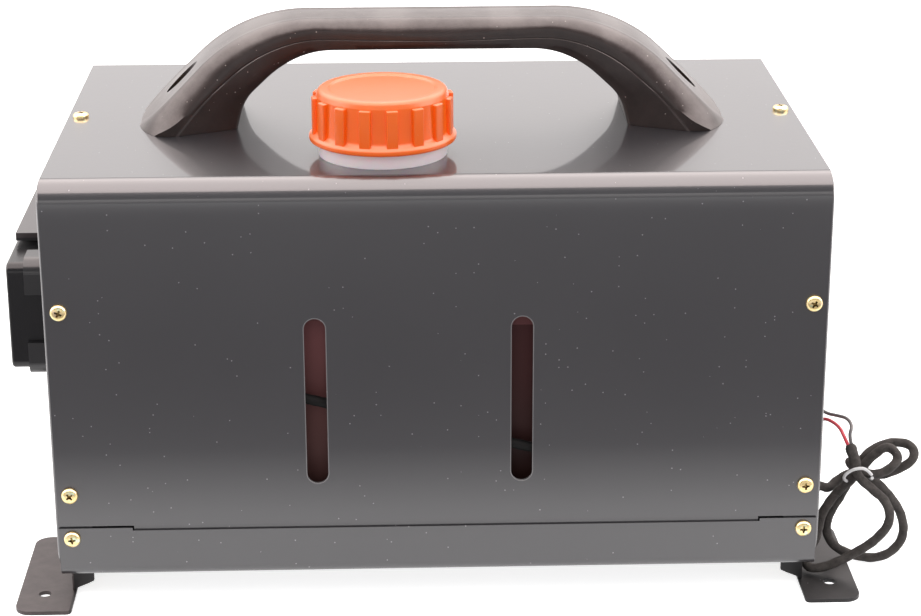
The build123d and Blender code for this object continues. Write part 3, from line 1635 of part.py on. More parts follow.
def ring_terminal(line):
    """Crimped ring terminal on the end of a wire, its ring flat to the case's end."""
    way = line % 1
    seat = Plane(origin=line @ 1, x_dir=Vector(1, 0, 0).cross(way), z_dir=way)
    with BuildPart() as terminal:
        with BuildSketch(seat.offset(-terminal_barrel_length / 2)):
            Circle(terminal_barrel)
        extrude(amount=terminal_barrel_length)
        with BuildSketch(seat.offset(-terminal_barrel_length / 2)):
            Circle(wire_radius + fit_play)
        extrude(amount=terminal_barrel_length / 2 + butt_gap, mode=Mode.SUBTRACT)
        ring_middle = seat.origin + way * (terminal_barrel_length / 2 + terminal_ring)
        ring_plane = Plane(origin=ring_middle, x_dir=way, z_dir=seat.y_dir)
        with BuildSketch(ring_plane.offset(-terminal_sheet / 2)):
            Circle(terminal_ring)
            with Locations((-terminal_ring, 0)):
                Rectangle(terminal_ring, 2 * terminal_barrel)
            Circle(terminal_hole, mode=Mode.SUBTRACT)
        extrude(amount=terminal_sheet)
    return terminal.part


with BuildPart() as ring_terminals:
    add(ring_terminal(positive_line))
    add(ring_terminal(negative_line))
ring_terminals.part.label = "ring_terminals"
export_step(ring_terminals.part, "parts/ring_terminals.step")

for cord_name, line, radius, route in (
    ("power lead", lead_line, lead_radius, lead_route),
    ("front harness", harness_line, harness_radius, harness_route),
):
    print(cord_name, "length", round(line.length, 1), "least bend radius", round(min(bends(route)), 1))
    print(cord_name, "least gap to itself", round(least_gap(line, radius), 2))
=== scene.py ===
import bpy, bmesh
from math import cos, hypot, pi, radians, sin
from mathutils import Matrix, Vector


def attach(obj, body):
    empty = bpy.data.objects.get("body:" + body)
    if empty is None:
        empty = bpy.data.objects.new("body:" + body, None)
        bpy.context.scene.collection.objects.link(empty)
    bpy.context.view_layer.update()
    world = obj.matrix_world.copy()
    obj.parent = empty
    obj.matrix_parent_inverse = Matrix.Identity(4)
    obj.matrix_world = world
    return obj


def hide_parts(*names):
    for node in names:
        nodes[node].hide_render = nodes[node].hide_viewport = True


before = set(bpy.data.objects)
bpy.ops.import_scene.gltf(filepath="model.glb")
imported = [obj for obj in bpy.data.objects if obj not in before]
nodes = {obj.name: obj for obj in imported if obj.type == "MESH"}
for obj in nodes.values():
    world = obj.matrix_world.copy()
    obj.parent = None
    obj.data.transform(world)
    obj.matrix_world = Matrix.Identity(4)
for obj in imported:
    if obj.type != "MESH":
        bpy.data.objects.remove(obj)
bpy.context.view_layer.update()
scene = bpy.context.scene
mm = 0.001

# ----------------------------------------------------
# Camera. A plain studio shot from the front and a little above the case, with a long lens. Its
# place, tilt and lens were worked out from the edges of the case.


def new_object(name, data):
    """Object of a mesh, a curve, a camera or a lamp, put into the scene."""
    made = bpy.data.objects.new(name, data)
    scene.collection.objects.link(made)
    return made


camera_data = bpy.data.cameras.new("studio_camera")
camera_data.sensor_width = 36
camera_data.lens = 93.706
camera_data.clip_start = 0.05
camera_data.clip_end = 50
camera = new_object("studio_camera", camera_data)
camera.location = (-0.021375, -1.209656, 0.544271)
camera.rotation_euler = (radians(70.44283), radians(0.15043), radians(-1.75211))
scene.camera = camera
scene.view_settings.view_transform = "Standard"

# ----------------------------------------------------
# Studio. A white table, a bright wall behind and above it, and four soft lamps. Mirrored in the
# paint, the table is dark in front of the case but for a bright strip close to it and one further
# off, and the room behind the camera is dark.


def new_material(name, colour, roughness, **plain):
    """Principled material; plain holds sockets that are the same all over, such as Coat_Weight."""
    material = bpy.data.materials.new(name)
    material.use_nodes = True
    shader = material.node_tree.nodes["Principled BSDF"]
    shader.inputs["Base Color"].default_value = (*colour, 1)
    shader.inputs["Roughness"].default_value = roughness
    for socket, value in plain.items():
        shader.inputs[socket.replace("_", " ")].default_value = value
    return material, material.node_tree, shader


def add_node(tree, kind, **settings):
    """Node of one kind in a tree; a setting is a property, or with i_ before it an input's value."""
    node = tree.nodes.new(kind)
    for key, value in settings.items():
        if key.startswith("i_"):
            node.inputs[key[2:].replace("_", " ")].default_value = value
        else:
            setattr(node, key, value)
    return node


def maths(tree, operation, a, b=None, c=None):
    """Math node whose inputs are sockets or numbers; gives its output socket."""
    node = add_node(tree, "ShaderNodeMath", operation=operation)
    for slot, value in enumerate((a, b, c)):
        if isinstance(value, bpy.types.NodeSocket):
            tree.links.new(value, node.inputs[slot])
        elif value is not None:
            node.inputs[slot].default_value = value
    return node.outputs[0]


def colour_steps(tree, factor, steps):
    """Colour ramp over a factor, from (place, colour) steps."""
    node = add_node(tree, "ShaderNodeValToRGB")
    ramp = node.color_ramp
    while len(ramp.elements) < len(steps):
        ramp.elements.new(0.5)
    for element, (place, colour) in zip(ramp.elements, steps):
        element.position = place
        element.color = (*colour, 1)
    tree.links.new(factor, node.inputs[0])
    return node.outputs[0]


def mixed(tree, factor, first, second, blend="MIX"):
    """Mix of two colours, each a socket or a value; gives its output socket."""
    node = add_node(tree, "ShaderNodeMix", data_type="RGBA", blend_type=blend)
    tree.links.new(factor, node.inputs[0])
    for slot, colour in ((6, first), (7, second)):
        if isinstance(colour, bpy.types.NodeSocket):
            tree.links.new(colour, node.inputs[slot])
        else:
            node.inputs[slot].default_value = (*colour, 1)
    return node.outputs[2]


def axes(tree, vector=None):
    """X, Y and Z outputs of a vector socket, or without one of the piece's own coordinates."""
    if vector is None:
        vector = add_node(tree, "ShaderNodeTexCoord").outputs["Object"]
    split = add_node(tree, "ShaderNodeSeparateXYZ")
    tree.links.new(vector, split.inputs[0])
    return split.outputs


def share_between(tree, value, low, high):
    """How far a value has come from low to high, from 0 to 1."""
    node = add_node(tree, "ShaderNodeMapRange", i_From_Min=low, i_From_Max=high)
    tree.links.new(value, node.inputs["Value"])
    return node.outputs[0]


world = bpy.data.worlds.new("studio_room")
world.use_nodes = True
scene.world = world
room = world.node_tree
where = axes(room, add_node(room, "ShaderNodeTexCoord").outputs["Generated"])
half_turn = maths(room, "DIVIDE", maths(room, "ARCTAN2", where["Z"], where["Y"]), pi)
# The room's light by half turns: 0 is the wall behind the case, 0.5 overhead, 1 behind the camera.
wall_light = [
    (0.00, (1.0, 0.98, 0.97)), (0.25, (1.1, 1.08, 1.07)), (0.50, (1.2, 1.18, 1.17)),
    (0.745, (1.2, 1.18, 1.17)), (0.80, (0.5, 0.49, 0.5)), (1.00, (0.4, 0.4, 0.42)),
]
wall_mirrored = [
    (0.00, (1.48, 1.42, 1.41)), (0.10, (1.4, 1.35, 1.34)), (0.125, (1.45, 1.39, 1.38)),
    (0.17, (2.4, 2.22, 2.17)), (0.26, (4.7, 4.2, 4.1)), (0.50, (5.0, 4.45, 4.35)),
    (0.74, (5.3, 4.65, 4.55)), (0.755, (0.8, 0.77, 0.78)), (0.80, (0.5, 0.48, 0.5)),
    (0.955, (0.4, 0.39, 0.4)), (0.97, (1.9, 1.83, 1.83)), (1.00, (1.4, 1.35, 1.34)),
]
rays = add_node(room, "ShaderNodeLightPath").outputs
room_light = mixed(room, rays["Is Glossy Ray"], colour_steps(room, half_turn, wall_light),
                   colour_steps(room, half_turn, wall_mirrored))
seen_white = mixed(room, rays["Is Camera Ray"], room_light, (1, 1, 1))
room.links.new(seen_white, room.nodes["Background"].inputs["Color"])

half_side = 4
table_corners = [(x * half_side, y * half_side, 0) for x, y in ((-1, -1), (1, -1), (1, 1), (-1, 1))]
table_mesh = bpy.data.meshes.new("studio_table")
table_mesh.from_pydata(table_corners, [], [(0, 1, 2, 3)])
table = new_object("studio_table", table_mesh)
table_white, tree, shader = new_material("table_white", (0.8, 0.8, 0.8), 0.6)
backwards = axes(tree)["Y"]
near_case = share_between(tree, backwards, -0.325, -0.235)
rays = add_node(tree, "ShaderNodeLightPath").outputs
dark_in_front = colour_steps(tree, near_case, [(0, (0.15, 0.15, 0.16)), (1, (0.86, 0.85, 0.86))])
table_colour = mixed(tree, rays["Is Camera Ray"], dark_in_front, (0.86, 0.86, 0.86))
tree.links.new(table_colour, shader.inputs["Base Color"])
seen_glow, near_glow, far_glow = 0.78, 0.68, 2.0
far_strip = colour_steps(tree, share_between(tree, backwards, -1.25, -0.25), [
    (0.1, (0.12, 0.11, 0.11)), (0.4, (1, 0.96, 0.96)), (0.428, (1, 0.97, 0.97)),
    (0.438, (0.26, 0.26, 0.26)), (0.453, (0.08, 0.08, 0.08)), (0.47, (0, 0, 0))])
strips = maths(tree, "MULTIPLY_ADD", near_case, near_glow, maths(tree, "MULTIPLY", far_strip, far_glow))
strips = maths(tree, "MULTIPLY", rays["Is Glossy Ray"], strips)
seen = maths(tree, "MULTIPLY", rays["Is Camera Ray"], seen_glow)
shader.inputs["Emission Color"].default_value = (1, 1, 1, 1)
tree.links.new(maths(tree, "ADD", seen, strips), shader.inputs["Emission Strength"])
table_mesh.materials.append(table_white)

lamps_aim = Vector((0, 0, 0.1))
for lamp_name, lamp_spot, lamp_size, lamp_watts, is_mirrored in (
    ("overhead_light", (0.1, 0.1, 1.9), 1.4, 2.5, False),
    ("front_light", (-0.3, -1.9, 1.0), 1.5, 7, False),
    ("left_light", (-1.6, -0.5, 0.9), 0.9, 3, True),
    ("right_light", (1.7, -0.5, 0.9), 0.9, 4, True),
):
    lamp_data = bpy.data.lights.new(lamp_name, "AREA")
    lamp_data.shape = "SQUARE"
    lamp_data.size = lamp_size
    lamp_data.energy = lamp_watts
    lamp = new_object(lamp_name, lamp_data)
    lamp.location = lamp_spot
    lamp.rotation_mode = "QUATERNION"
    lamp.rotation_quaternion = (lamps_aim - Vector(lamp_spot)).to_track_quat("-Z", "Y")
    lamp.visible_glossy = is_mirrored

# ----------------------------------------------------
# Power lead. Two wires in a loom wound with black cloth tape, folded by hand into a loose hank at
# the right end of the case. A last wrap of the same tape holds the loom's end.
lead_radius = 2.3 * mm
lead_route = [
    (188, -86, 46), (196, -86, 46), (202, -81, 41.5), (208, -73, 43.5), (218, -71, 47.5),
    (228.5, -73, 44.5), (238.5, -79, 51), (246, -80, 57), (246, -74, 62.5), (236, -71, 63.5),
    (225, -74.5, 61), (218.5, -76.3, 55), (213.5, -78, 46.5), (208.5, -81.5, 38), (203, -82, 29),
    (201.5, -80, 19), (205, -79, 9.5), (213.5, -80, 4), (227, -82.5, 1.9), (237, -82, 5.5),
    (243, -81, 14.5), (240.5, -81.5, 28), (231.5, -82, 40.5), (222.5, -82, 49), (211, -82, 58.5),
    (211, -92, 58.5), (222, -92.5, 53.5), (229.5, -94, 57), (236, -91, 62.5), (230.5, -86.3, 68),
    (223, -87, 63), (217, -87, 55.5), (211.5, -87, 48), (206, -86.5, 43), (201.5, -87, 37),
    (197.5, -87.5, 30), (196, -89, 21.5), (194, -89, 14), (189, -90.5, 8), (189.7, -98, 4.6),
    (198.5, -100, 5.8), (213, -100, 13.5), (223, -101.5, 21), (231, -101.5, 31.5), (228.5, -100.5, 42.5),
    (220.5, -98.5, 49), (212.5, -97, 56), (212, -95.5, 63.5), (209, -93, 71.5),
]


def cord_curve(name, route, radius):
    """Smooth curve with a route's points in millimetres as its control points, bevelled to a radius."""
    data = bpy.data.curves.new(name, "CURVE")
    data.dimensions = "3D"
    spline = data.splines.new("NURBS")
    spline.points.add(len(route) - 1)
    for point, (x, y, z) in zip(spline.points, route):
        point.co = (x * mm, y * mm, z * mm, 1)
    spline.order_u = 3
    spline.use_endpoint_u = True
    spline.resolution_u = 12
    data.resolution_u = 12
    data.bevel_depth = radius
    data.bevel_resolution = 6
    data.use_fill_caps = radius > 0
    return new_object(name, data)


def spline_points(name, route, spacing):
    """Evenly spaced points on the smooth curve of a route, read from the curve itself, and its length."""
    line = cord_curve(name, route, 0)
    bpy.context.view_layer.update()
    evaluated = line.evaluated_get(bpy.context.evaluated_depsgraph_get())
    mesh = bpy.data.meshes.new_from_object(evaluated)
    raw = [vertex.co.copy() for vertex in mesh.vertices]
    bpy.data.meshes.remove(mesh)
    bpy.data.objects.remove(line)
    along = [0.0]
    for a, b in zip(raw, raw[1:]):
        along.append(along[-1] + (b - a).length)
    count = int(along[-1] / spacing)
    even, k = [], 0
    for step in range(count + 1):
        target = along[-1] * step / count
        while k < len(raw) - 2 and along[k + 1] < target:
            k += 1
        gap = along[k + 1] - along[k]
        even.append(raw[k].lerp(raw[k + 1], (target - along[k]) / gap if gap > 0 else 0))
    return even, along[-1]


def finished(name, form):
    """Object of a bmesh, which is used up, put into the scene."""
    mesh = bpy.data.meshes.new(name)
    form.to_mesh(mesh)
    form.free()
    return new_object(name, mesh)


def taped_tube(name, points, radius, tape_pitch, tape_step, material, first=0.0):
    """Tube along points, wound with tape: its radius steps up by tape_step once a turn of the tape."""
    sides, sheet_scale = 20, 10
    ripple_share, ripple_rate = 0.6, 900
    rounded_end = (0.62, 0.86, 0.97)
    tube = bmesh.new()
    sheet_map = tube.loops.layers.uv.new("tape")
    side = (points[1] - points[0]).normalized().orthogonal().normalized()
    rings, spots, travelled = [], [], 0.0
    for index, point in enumerate(points):
        ahead = points[min(index + 1, len(points) - 1)] - points[max(index - 1, 0)]
        ahead.normalize()
        side = (side - ahead * side.dot(ahead)).normalized()
        across_side = ahead.cross(side)
        if index:
            travelled += (point - points[index - 1]).length
        near_end = min(index, len(points) - 1 - index)
        taper = rounded_end[near_end] if near_end < len(rounded_end) else 1.0
        ring = []
        for step in range(sides):
            angle = 2 * pi * step / sides
            turn_share = ((travelled + first) / tape_pitch + step / sides) % 1.0
            ripple = tape_step * ripple_share * sin(travelled * ripple_rate + 2 * angle)
            reach = (radius + tape_step * (1 - turn_share) + ripple) * taper
            ring.append(tube.verts.new(point + (side * cos(angle) + across_side * sin(angle)) * reach))
        rings.append(ring)
        spots.append(travelled)
    for index, (near, far) in enumerate(zip(rings, rings[1:])):
        for step in range(sides):
            after = (step + 1) % sides
            face = tube.faces.new((near[step], near[after], far[after], far[step]))
            face.smooth = True
            v0, v1 = step / sides, (step + 1) / sides
            corners = ((index, v0), (index, v1), (index + 1, v1), (index + 1, v0))
            for loop, (row, v) in zip(face.loops, corners):
                loop[sheet_map].uv = (spots[row] * sheet_scale, v)
    for end in (list(reversed(rings[0])), rings[-1]):
        tube.faces.new(end).smooth = False
    tube.normal_update()
    tube_object = finished(name, tube)
    tube_object.data.materials.append(material)
    return tube_object


def specks_group():
    """Sparse fine specks of dust or paint. Out: a mask, 1 on a speck and 0 elsewhere."""
    group = bpy.data.node_groups.new("fine_specks", "ShaderNodeTree")
    for name, usual in (("Scale", 500), ("Share", 0.02)):
        socket = group.interface.new_socket(name=name, in_out="INPUT", socket_type="NodeSocketFloat")
        socket.default_value = usual
    group.interface.new_socket(name="Mask", in_out="OUTPUT", socket_type="NodeSocketFloat")
    inside = add_node(group, "NodeGroupInput")
    outside = add_node(group, "NodeGroupOutput")
    cells = add_node(group, "ShaderNodeTexVoronoi", feature="F1")
    group.links.new(add_node(group, "ShaderNodeTexCoord").outputs["Object"], cells.inputs["Vector"])
    group.links.new(inside.outputs["Scale"], cells.inputs["Scale"])
    pick = add_node(group, "ShaderNodeSeparateColor")
    group.links.new(cells.outputs["Color"], pick.inputs[0])
    chosen = maths(group, "LESS_THAN", pick.outputs[0], inside.outputs["Share"])
    smallest, spread = 0.05, 0.12
    reach = maths(group, "MULTIPLY_ADD", pick.outputs[1], spread, smallest)
    near = maths(group, "LESS_THAN", cells.outputs["Distance"], reach)
    group.links.new(maths(group, "MULTIPLY", chosen, near), outside.inputs["Mask"])
    return group


fine_specks = specks_group()


def add_specks(tree, shader, base, scale, share, colour, amount):
    """Puts fine specks of one colour over a base colour, a socket or a value, into Base Color."""
    specks = add_node(tree, "ShaderNodeGroup", node_tree=fine_specks, i_Scale=scale, i_Share=share)
    factor = maths(tree, "MULTIPLY", specks.outputs["Mask"], amount)
    tree.links.new(mixed(tree, factor, base, colour), shader.inputs["Base Color"])


def grain(tree, scale, detail, roughness=0.5):
    """Noise over the piece's own coordinates, in cells per metre."""
    noise = add_node(tree, "ShaderNodeTexNoise", i_Scale=scale, i_Detail=detail, i_Roughness=roughness)
    tree.links.new(add_node(tree, "ShaderNodeTexCoord").outputs["Object"], noise.inputs["Vector"])
    return noise.outputs["Fac"]


def raise_by(tree, shader, height, distance, strength, under=None):
    """Bump from a height socket into the shader's Normal, on top of another bump if there is one."""
    bump = add_node(tree, "ShaderNodeBump", i_Strength=strength, i_Distance=distance)
    tree.links.new(height, bump.inputs["Height"])
    if under is not None:
        tree.links.new(under, bump.inputs["Normal"])
    tree.links.new(bump.outputs[0], shader.inputs["Normal"])
    return bump.outputs[0]


cloth_tape, tree, shader = new_material("black_cloth_tape", (0.045, 0.041, 0.039), 0.72,
                                        Specular_IOR_Level=0.35)
tape_colour = colour_steps(tree, grain(tree, 260, 4, 0.6), [(0.3, (0.03, 0.027, 0.025)),
                                                            (0.7, (0.085, 0.077, 0.071))])
add_specks(tree, shader, tape_colour, 900, 0.02, (0.35, 0.33, 0.31), 0.7)
threads = add_node(tree, "ShaderNodeMapping", i_Scale=(160, 34, 1))
tree.links.new(add_node(tree, "ShaderNodeTexCoord").outputs["UV"], threads.inputs["Vector"])
weave = add_node(tree, "ShaderNodeTexWave", i_Scale=1.0, i_Distortion=0.6, bands_direction="DIAGONAL")
tree.links.new(threads.outputs[0], weave.inputs["Vector"])
weave_bump = raise_by(tree, shader, weave.outputs["Fac"], 0.12 * mm, 0.7)
raise_by(tree, shader, grain(tree, 700, 3), 0.2 * mm, 0.6, weave_bump)

lead_points, lead_length = spline_points("lead_line", lead_route, 0.9 * mm)
power_lead = taped_tube("power_lead_taped", lead_points, lead_radius, 9 * mm, 0.12 * mm, cloth_tape)
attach(power_lead, "case")
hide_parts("power_lead")
wrapped_points = lead_points[-16:]
end_wrap = taped_tube("lead_end_wrap", wrapped_points, 2.75 * mm, 5 * mm, 0.2 * mm, cloth_tape)
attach(end_wrap, "case")

# ----------------------------------------------------
# Wires and twist tie. The lead's two copper wires, with red and grey PVC insulation, come out of
# its end and bend over to the end panel. A paper-covered wire is wound round the hank by hand.
wire_radius, tie_radius = 0.9 * mm, 0.8 * mm
wire_spacing = 2.3
lead_way = (Vector(lead_route[-1]) - Vector(lead_route[-2])).normalized()
lead_side = lead_way.cross(Vector((0, 1, 0))).normalized() * (wire_spacing / 2)


def wire_route(side, route):
    """A wire's points from inside the lead's end, straight on and then along its own route."""
    hidden_run, straight_run, gathered = 2.5, 4.1, 0.6
    inside = Vector(lead_route[-1]) - lead_way * hidden_run + lead_side * side * gathered
    straight = Vector(lead_route[-1]) + lead_way * straight_run + lead_side * side
    return [tuple(inside), tuple(straight)] + route


def grained(name, colour, roughness, cells, detail, depth, strength, specks=None, **plain):
    """Material of one colour whose surface is a fine grain, with fine specks if they are given."""
    material, tree, shader = new_material(name, colour, roughness, **plain)
    raise_by(tree, shader, grain(tree, cells, detail), depth, strength)
    if specks:
        add_specks(tree, shader, colour, *specks)
    return material


red_insulation = grained("red_wire_insulation", (0.8, 0.06, 0.09), 0.3, 900, 2, 0.04 * mm, 0.5,
                         (1200, 0.02, (0.8, 0.5, 0.5), 0.4), Coat_Weight=0.2)
grey_insulation = grained("grey_wire_insulation", (0.17, 0.16, 0.16), 0.35, 900, 2, 0.04 * mm, 0.5,
                          (1200, 0.02, (0.4, 0.4, 0.4), 0.4), Coat_Weight=0.2)
tie_paper, tree, shader = new_material("white_tie_paper", (0.8, 0.8, 0.8), 0.55)
raise_by(tree, shader, grain(tree, 800, 3), 0.3 * mm, 0.7)
creased = colour_steps(tree, grain(tree, 240, 2), [(0.3, (0.6, 0.6, 0.6)), (0.7, (0.86, 0.86, 0.86))])
add_specks(tree, shader, creased, 900, 0.02, (0.4, 0.4, 0.4), 0.5)

positive_route = wire_route(1, [(205, -86, 78), (202, -77, 78), (199.5, -69, 76), (197, -62, 71)])
negative_route = wire_route(-1, [(210.8, -89.5, 79.8), (209.5, -82, 81.3), (205.5, -74, 79.5),
                                 (201, -66.5, 77.8), (198, -59, 78.5)])
tie_route = [
    (219.5, -101.3, 57.8), (217.5, -101.6, 60.4), (214.6, -101.8, 62), (210, -101.4, 61.2),
    (206.6, -100.4, 58.4), (206, -97, 54.5), (209.5, -89, 49), (212.5, -79, 45.5), (215, -70, 43.5),
    (219, -66.8, 42.5), (222, -75.5, 42), (221.5, -77.8, 51.5), (220.5, -82, 57), (220.5, -88.5, 52),
    (221, -95, 52.5), (220.5, -98.5, 55),
]
rings_on_end = [nodes["ring_terminals"]]
for name, route, radius, material, node, slot, far_end, fittings in (
    ("positive_wire_red", positive_route, wire_radius, red_insulation, "positive_wire", "wire_red",
     "fitting", rings_on_end),
    ("negative_wire_grey", negative_route, wire_radius, grey_insulation, "negative_wire", "wire_grey",
     "fitting", rings_on_end),
    ("twist_tie", tie_route, tie_radius, tie_paper, "lead_tie", "tie_white", "bare", []),
):
    cord = cord_curve(name, route, radius)
    cord.data.materials.append(material)
    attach(cord, "case")
    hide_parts(node)
    line_points, line_length = spline_points("small_line", route, 0.5 * mm)

# ----------------------------------------------------
# Ring terminals. Two eyes pressed from tinned copper strip, whose barrels are crimped onto the
# ends of the wires.


def dress(material, *names):
    """Gives CAD nodes one material."""
    for name in names:
        materials = nodes[name].data.materials
        materials.clear()
        materials.append(material)


tinned, tree, shader = new_material("tinned_copper", (0.62, 0.6, 0.56), 0.3, Metallic=1.0)
raise_by(tree, shader, grain(tree, 900, 3), 0.06 * mm, 0.6)
tarnish = colour_steps(tree, grain(tree, 500, 3), [(0.3, (0.5, 0.47, 0.42)), (0.7, (0.72, 0.7, 0.66))])
tree.links.new(tarnish, shader.inputs["Base Color"])
dress(tinned, "ring_terminals")

# ----------------------------------------------------
# Rubber parts. The lead's moulded grommet, the cap's liner, the gasket under the heater, and the
# hoses cut from extruded tube and pushed onto their spigots. Black and dull.
soft_rubber = grained("black_rubber", (0.02, 0.02, 0.02), 0.6, 1500, 3, 0.05 * mm, 0.6,
                      (1000, 0.015, (0.2, 0.2, 0.2), 0.6))
dress(soft_rubber, "lead_grommet", "cap_liner", "base_gasket", "tank_hose", "pump_hose", "heater_hose")

# ----------------------------------------------------
# Harness. Wires in a sleeve inside the case, held between the lead's grommet and the hand
# controller; it crosses both sight slots in front of the tank.
harness_radius = 2.5 * mm
harness_route = [
    (188, -86, 46), (179, -86, 46), (171.5, -91, 46.8), (166, -101, 49), (157, -112.5, 53),
    (136, -115.3, 60), (95, -115.1, 70), (46, -115.4, 82), (-8, -115.1, 94.5), (-60, -115.4, 108),
    (-110, -115.1, 121), (-143, -114, 131), (-160, -104, 137), (-167, -84, 140.5), (-167, -66, 143),
    (-171, -49, 145), (-184, -40, 145), (-199, -40, 145),
]
black_sleeve = grained("black_sleeve", (0.008, 0.008, 0.008), 0.7, 900, 3, 0.1 * mm, 0.6,
                       (900, 0.01, (0.1, 0.1, 0.1), 0.5), Specular_IOR_Level=0.2)
harness_points, _ = spline_points("harness_line", harness_route, 1.2 * mm)
harness = taped_tube("harness_taped", harness_points, harness_radius, 9 * mm, 0.1 * mm, black_sleeve,
                     first=4 * mm)
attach(harness, "case")
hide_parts("front_harness")

# ----------------------------------------------------
# Case. Cover, tray and end panels of 1.2 mm sheet steel, pressed and folded, and powder coated a
# glossy dark grey with fine orange peel and a few pale specks. A thin lighter line round the punched
# edges of the sight slots is a painted highlight, and the coat is dull along the fold between front and
# top.


def box_of(name):
    """Lowest and highest corner of a CAD node."""
    corners = [nodes[name].matrix_world @ Vector(corner) for corner in nodes[name].bound_box]
    return Vector(map(min, *corners)), Vector(map(max, *corners))


cover_low, cover_high = box_of("cover")
case_paint, tree, shader = new_material("grey_powder_coat", (0.034, 0.033, 0.038), 0.4,
                                        IOR=1.65, Coat_Roughness=0.045, Coat_IOR=1.65)
paint_colour = colour_steps(tree, grain(tree, 9, 2), [(0.35, (0.0205, 0.02, 0.0235)),
                                                      (0.65, (0.0245, 0.024, 0.0275))])
place = axes(tree)
slots_level, slot_half, rim_reach, rim_half = 110 * mm, 37.8 * mm, 5.35 * mm, 0.3 * mm
rims = []
for slot_middle in (-59.65 * mm, 40.85 * mm):
    off = maths(tree, "SUBTRACT", place["X"], slot_middle)
    up = maths(tree, "ABSOLUTE", maths(tree, "SUBTRACT", place["Z"], slots_level))
    up = maths(tree, "MAXIMUM", maths(tree, "SUBTRACT", up, slot_half), 0.0)
    squares = maths(tree, "ADD", maths(tree, "MULTIPLY", off, off), maths(tree, "MULTIPLY", up, up))
    from_rim = maths(tree, "ABSOLUTE", maths(tree, "SUBTRACT", maths(tree, "SQRT", squares), rim_reach))
    rims.append(maths(tree, "LESS_THAN", from_rim, rim_half))
front_face, rim_highlight_strength = cover_low.y + 1.5 * mm, 0.3
in_front = maths(tree, "LESS_THAN", place["Y"], front_face)
rim = maths(tree, "MULTIPLY", maths(tree, "MAXIMUM", *rims), in_front)
# Painted highlight: the paint is lighter on a thin line round each sight slot, on the front of the cover.
rim_highlighted = mixed(tree, maths(tree, "MULTIPLY", rim, rim_highlight_strength), paint_colour, (0.5, 0.48, 0.48))
add_specks(tree, shader, rim_highlighted, 460, 0.06, (0.62, 0.6, 0.62), 0.4)
fold_middle, fold_half = cover_low.y + 9.9 * mm, 0.45 * mm
fold_level, fold_dullness = cover_high.z - 0.5 * mm, 0.75
from_fold = maths(tree, "ABSOLUTE", maths(tree, "SUBTRACT", place["Y"], fold_middle))
fold = maths(tree, "MULTIPLY", maths(tree, "LESS_THAN", from_fold, fold_half),
             maths(tree, "GREATER_THAN", place["Z"], fold_level))
fold = maths(tree, "MULTIPLY", fold, fold_dullness)
coat_weight, paint_roughness, fold_roughness = 0.75, 0.34, 0.45
coat = maths(tree, "MULTIPLY_ADD", fold, -coat_weight, coat_weight)
rough = maths(tree, "MULTIPLY_ADD", fold, fold_roughness, paint_roughness)
tree.links.new(coat, shader.inputs["Coat Weight"])
tree.links.new(rough, shader.inputs["Roughness"])
peel = raise_by(tree, shader, grain(tree, 330, 1), 0.06 * mm, 0.3)
raise_by(tree, shader, grain(tree, 45, 1), 0.2 * mm, 0.1, peel)
dress(case_paint, "cover", "base_tray", "left_end_panel", "right_end_panel", "divider_plate", "tank_straps")

# ----------------------------------------------------
# Feet. Two folded steel strips with bolt ears, screwed under the ends of the case. Satin dark
# paint, browner on the left one, and darker where the foot lies under the case, a painted shade.
shade_under_case_reach = 185.2 * mm
for foot_name, foot_colour in (("left_foot", (0.062, 0.05, 0.049)), ("right_foot", (0.016, 0.0155, 0.016))):
    foot_paint, tree, shader = new_material(foot_name + "_satin_paint", foot_colour, 0.42,
                                            Specular_IOR_Level=0.35)
    mottle = colour_steps(tree, grain(tree, 160, 4), [(0.3, tuple(c * 0.8 for c in foot_colour)),
                                                      (0.7, tuple(c * 1.25 for c in foot_colour))])
    # Painted shade: the foot is darker inboard, where it lies under the case.
    inner_side = maths(tree, "LESS_THAN", maths(tree, "ABSOLUTE", axes(tree)["X"]), shade_under_case_reach)
    shade_under_case = mixed(tree, maths(tree, "MULTIPLY", inner_side, 0.9), mottle, (0.012, 0.0115, 0.012))
    add_specks(tree, shader, shade_under_case, 420, 0.05, (0.4, 0.38, 0.37), 0.7)
    raise_by(tree, shader, grain(tree, 900, 3), 0.06 * mm, 0.5)
    dress(foot_paint, foot_name)

# ----------------------------------------------------
# Filler neck. White polyethylene, moulded and welded onto the tank. The gap round it in the
# cover's hole is closed by a thin ring in the cover's paint, flush with the cover.
neck_x, neck_y, _ = sum(box_of("filler_neck"), Vector()) / 2
neck_plastic, tree, shader = new_material("white_neck_plastic", (1.0, 0.84, 0.87), 0.35,
                                          Subsurface_Weight=0.4, Subsurface_Scale=6 * mm)
raise_by(tree, shader, grain(tree, 400, 3), 0.06 * mm, 0.5)
dress(neck_plastic, "filler_neck")


def turned_form(profile, steps, axis=(0, 0, 0), hollow=False):
    """Bmesh of a profile of reach and height in millimetres, turned about an upright axis."""
    form = bmesh.new()
    rings = []
    for step in range(steps):
        angle = 2 * pi * step / steps
        rings.append([form.verts.new((axis[0] + reach * mm * cos(angle), axis[1] + reach * mm * sin(angle),
                                      axis[2] + height * mm)) for reach, height in profile])
    for near, far in zip(rings, rings[1:] + rings[:1]):
        if hollow:
            near, far = near + near[:1], far + far[:1]
        for a, b, c, d in zip(near, near[1:], far[1:], far):
            form.faces.new((a, b, c, d))
    return form, rings


def closed_up(form):
    """Joins the points of a bmesh that lie together, and turns its faces outwards."""
    bmesh.ops.remove_doubles(form, verts=form.verts, dist=0.02 * mm)
    bmesh.ops.recalc_face_normals(form, faces=form.faces)


def smooth(piece, degrees):
    """Shades a piece smooth, but for edges sharper than an angle."""
    piece.data.shade_smooth()
    piece.data.set_sharp_from_angle(angle=radians(degrees))


collar_profile = [(31.55, -1.2), (32.98, -1.2), (32.98, 0), (31.55, 0)]
collar, _ = turned_form(collar_profile, 96, (neck_x, neck_y, cover_high.z), hollow=True)
closed_up(collar)
neck_collar = finished("neck_collar", collar)
smooth(neck_collar, 40)
neck_collar.data.materials.append(case_paint)
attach(neck_collar, "case")
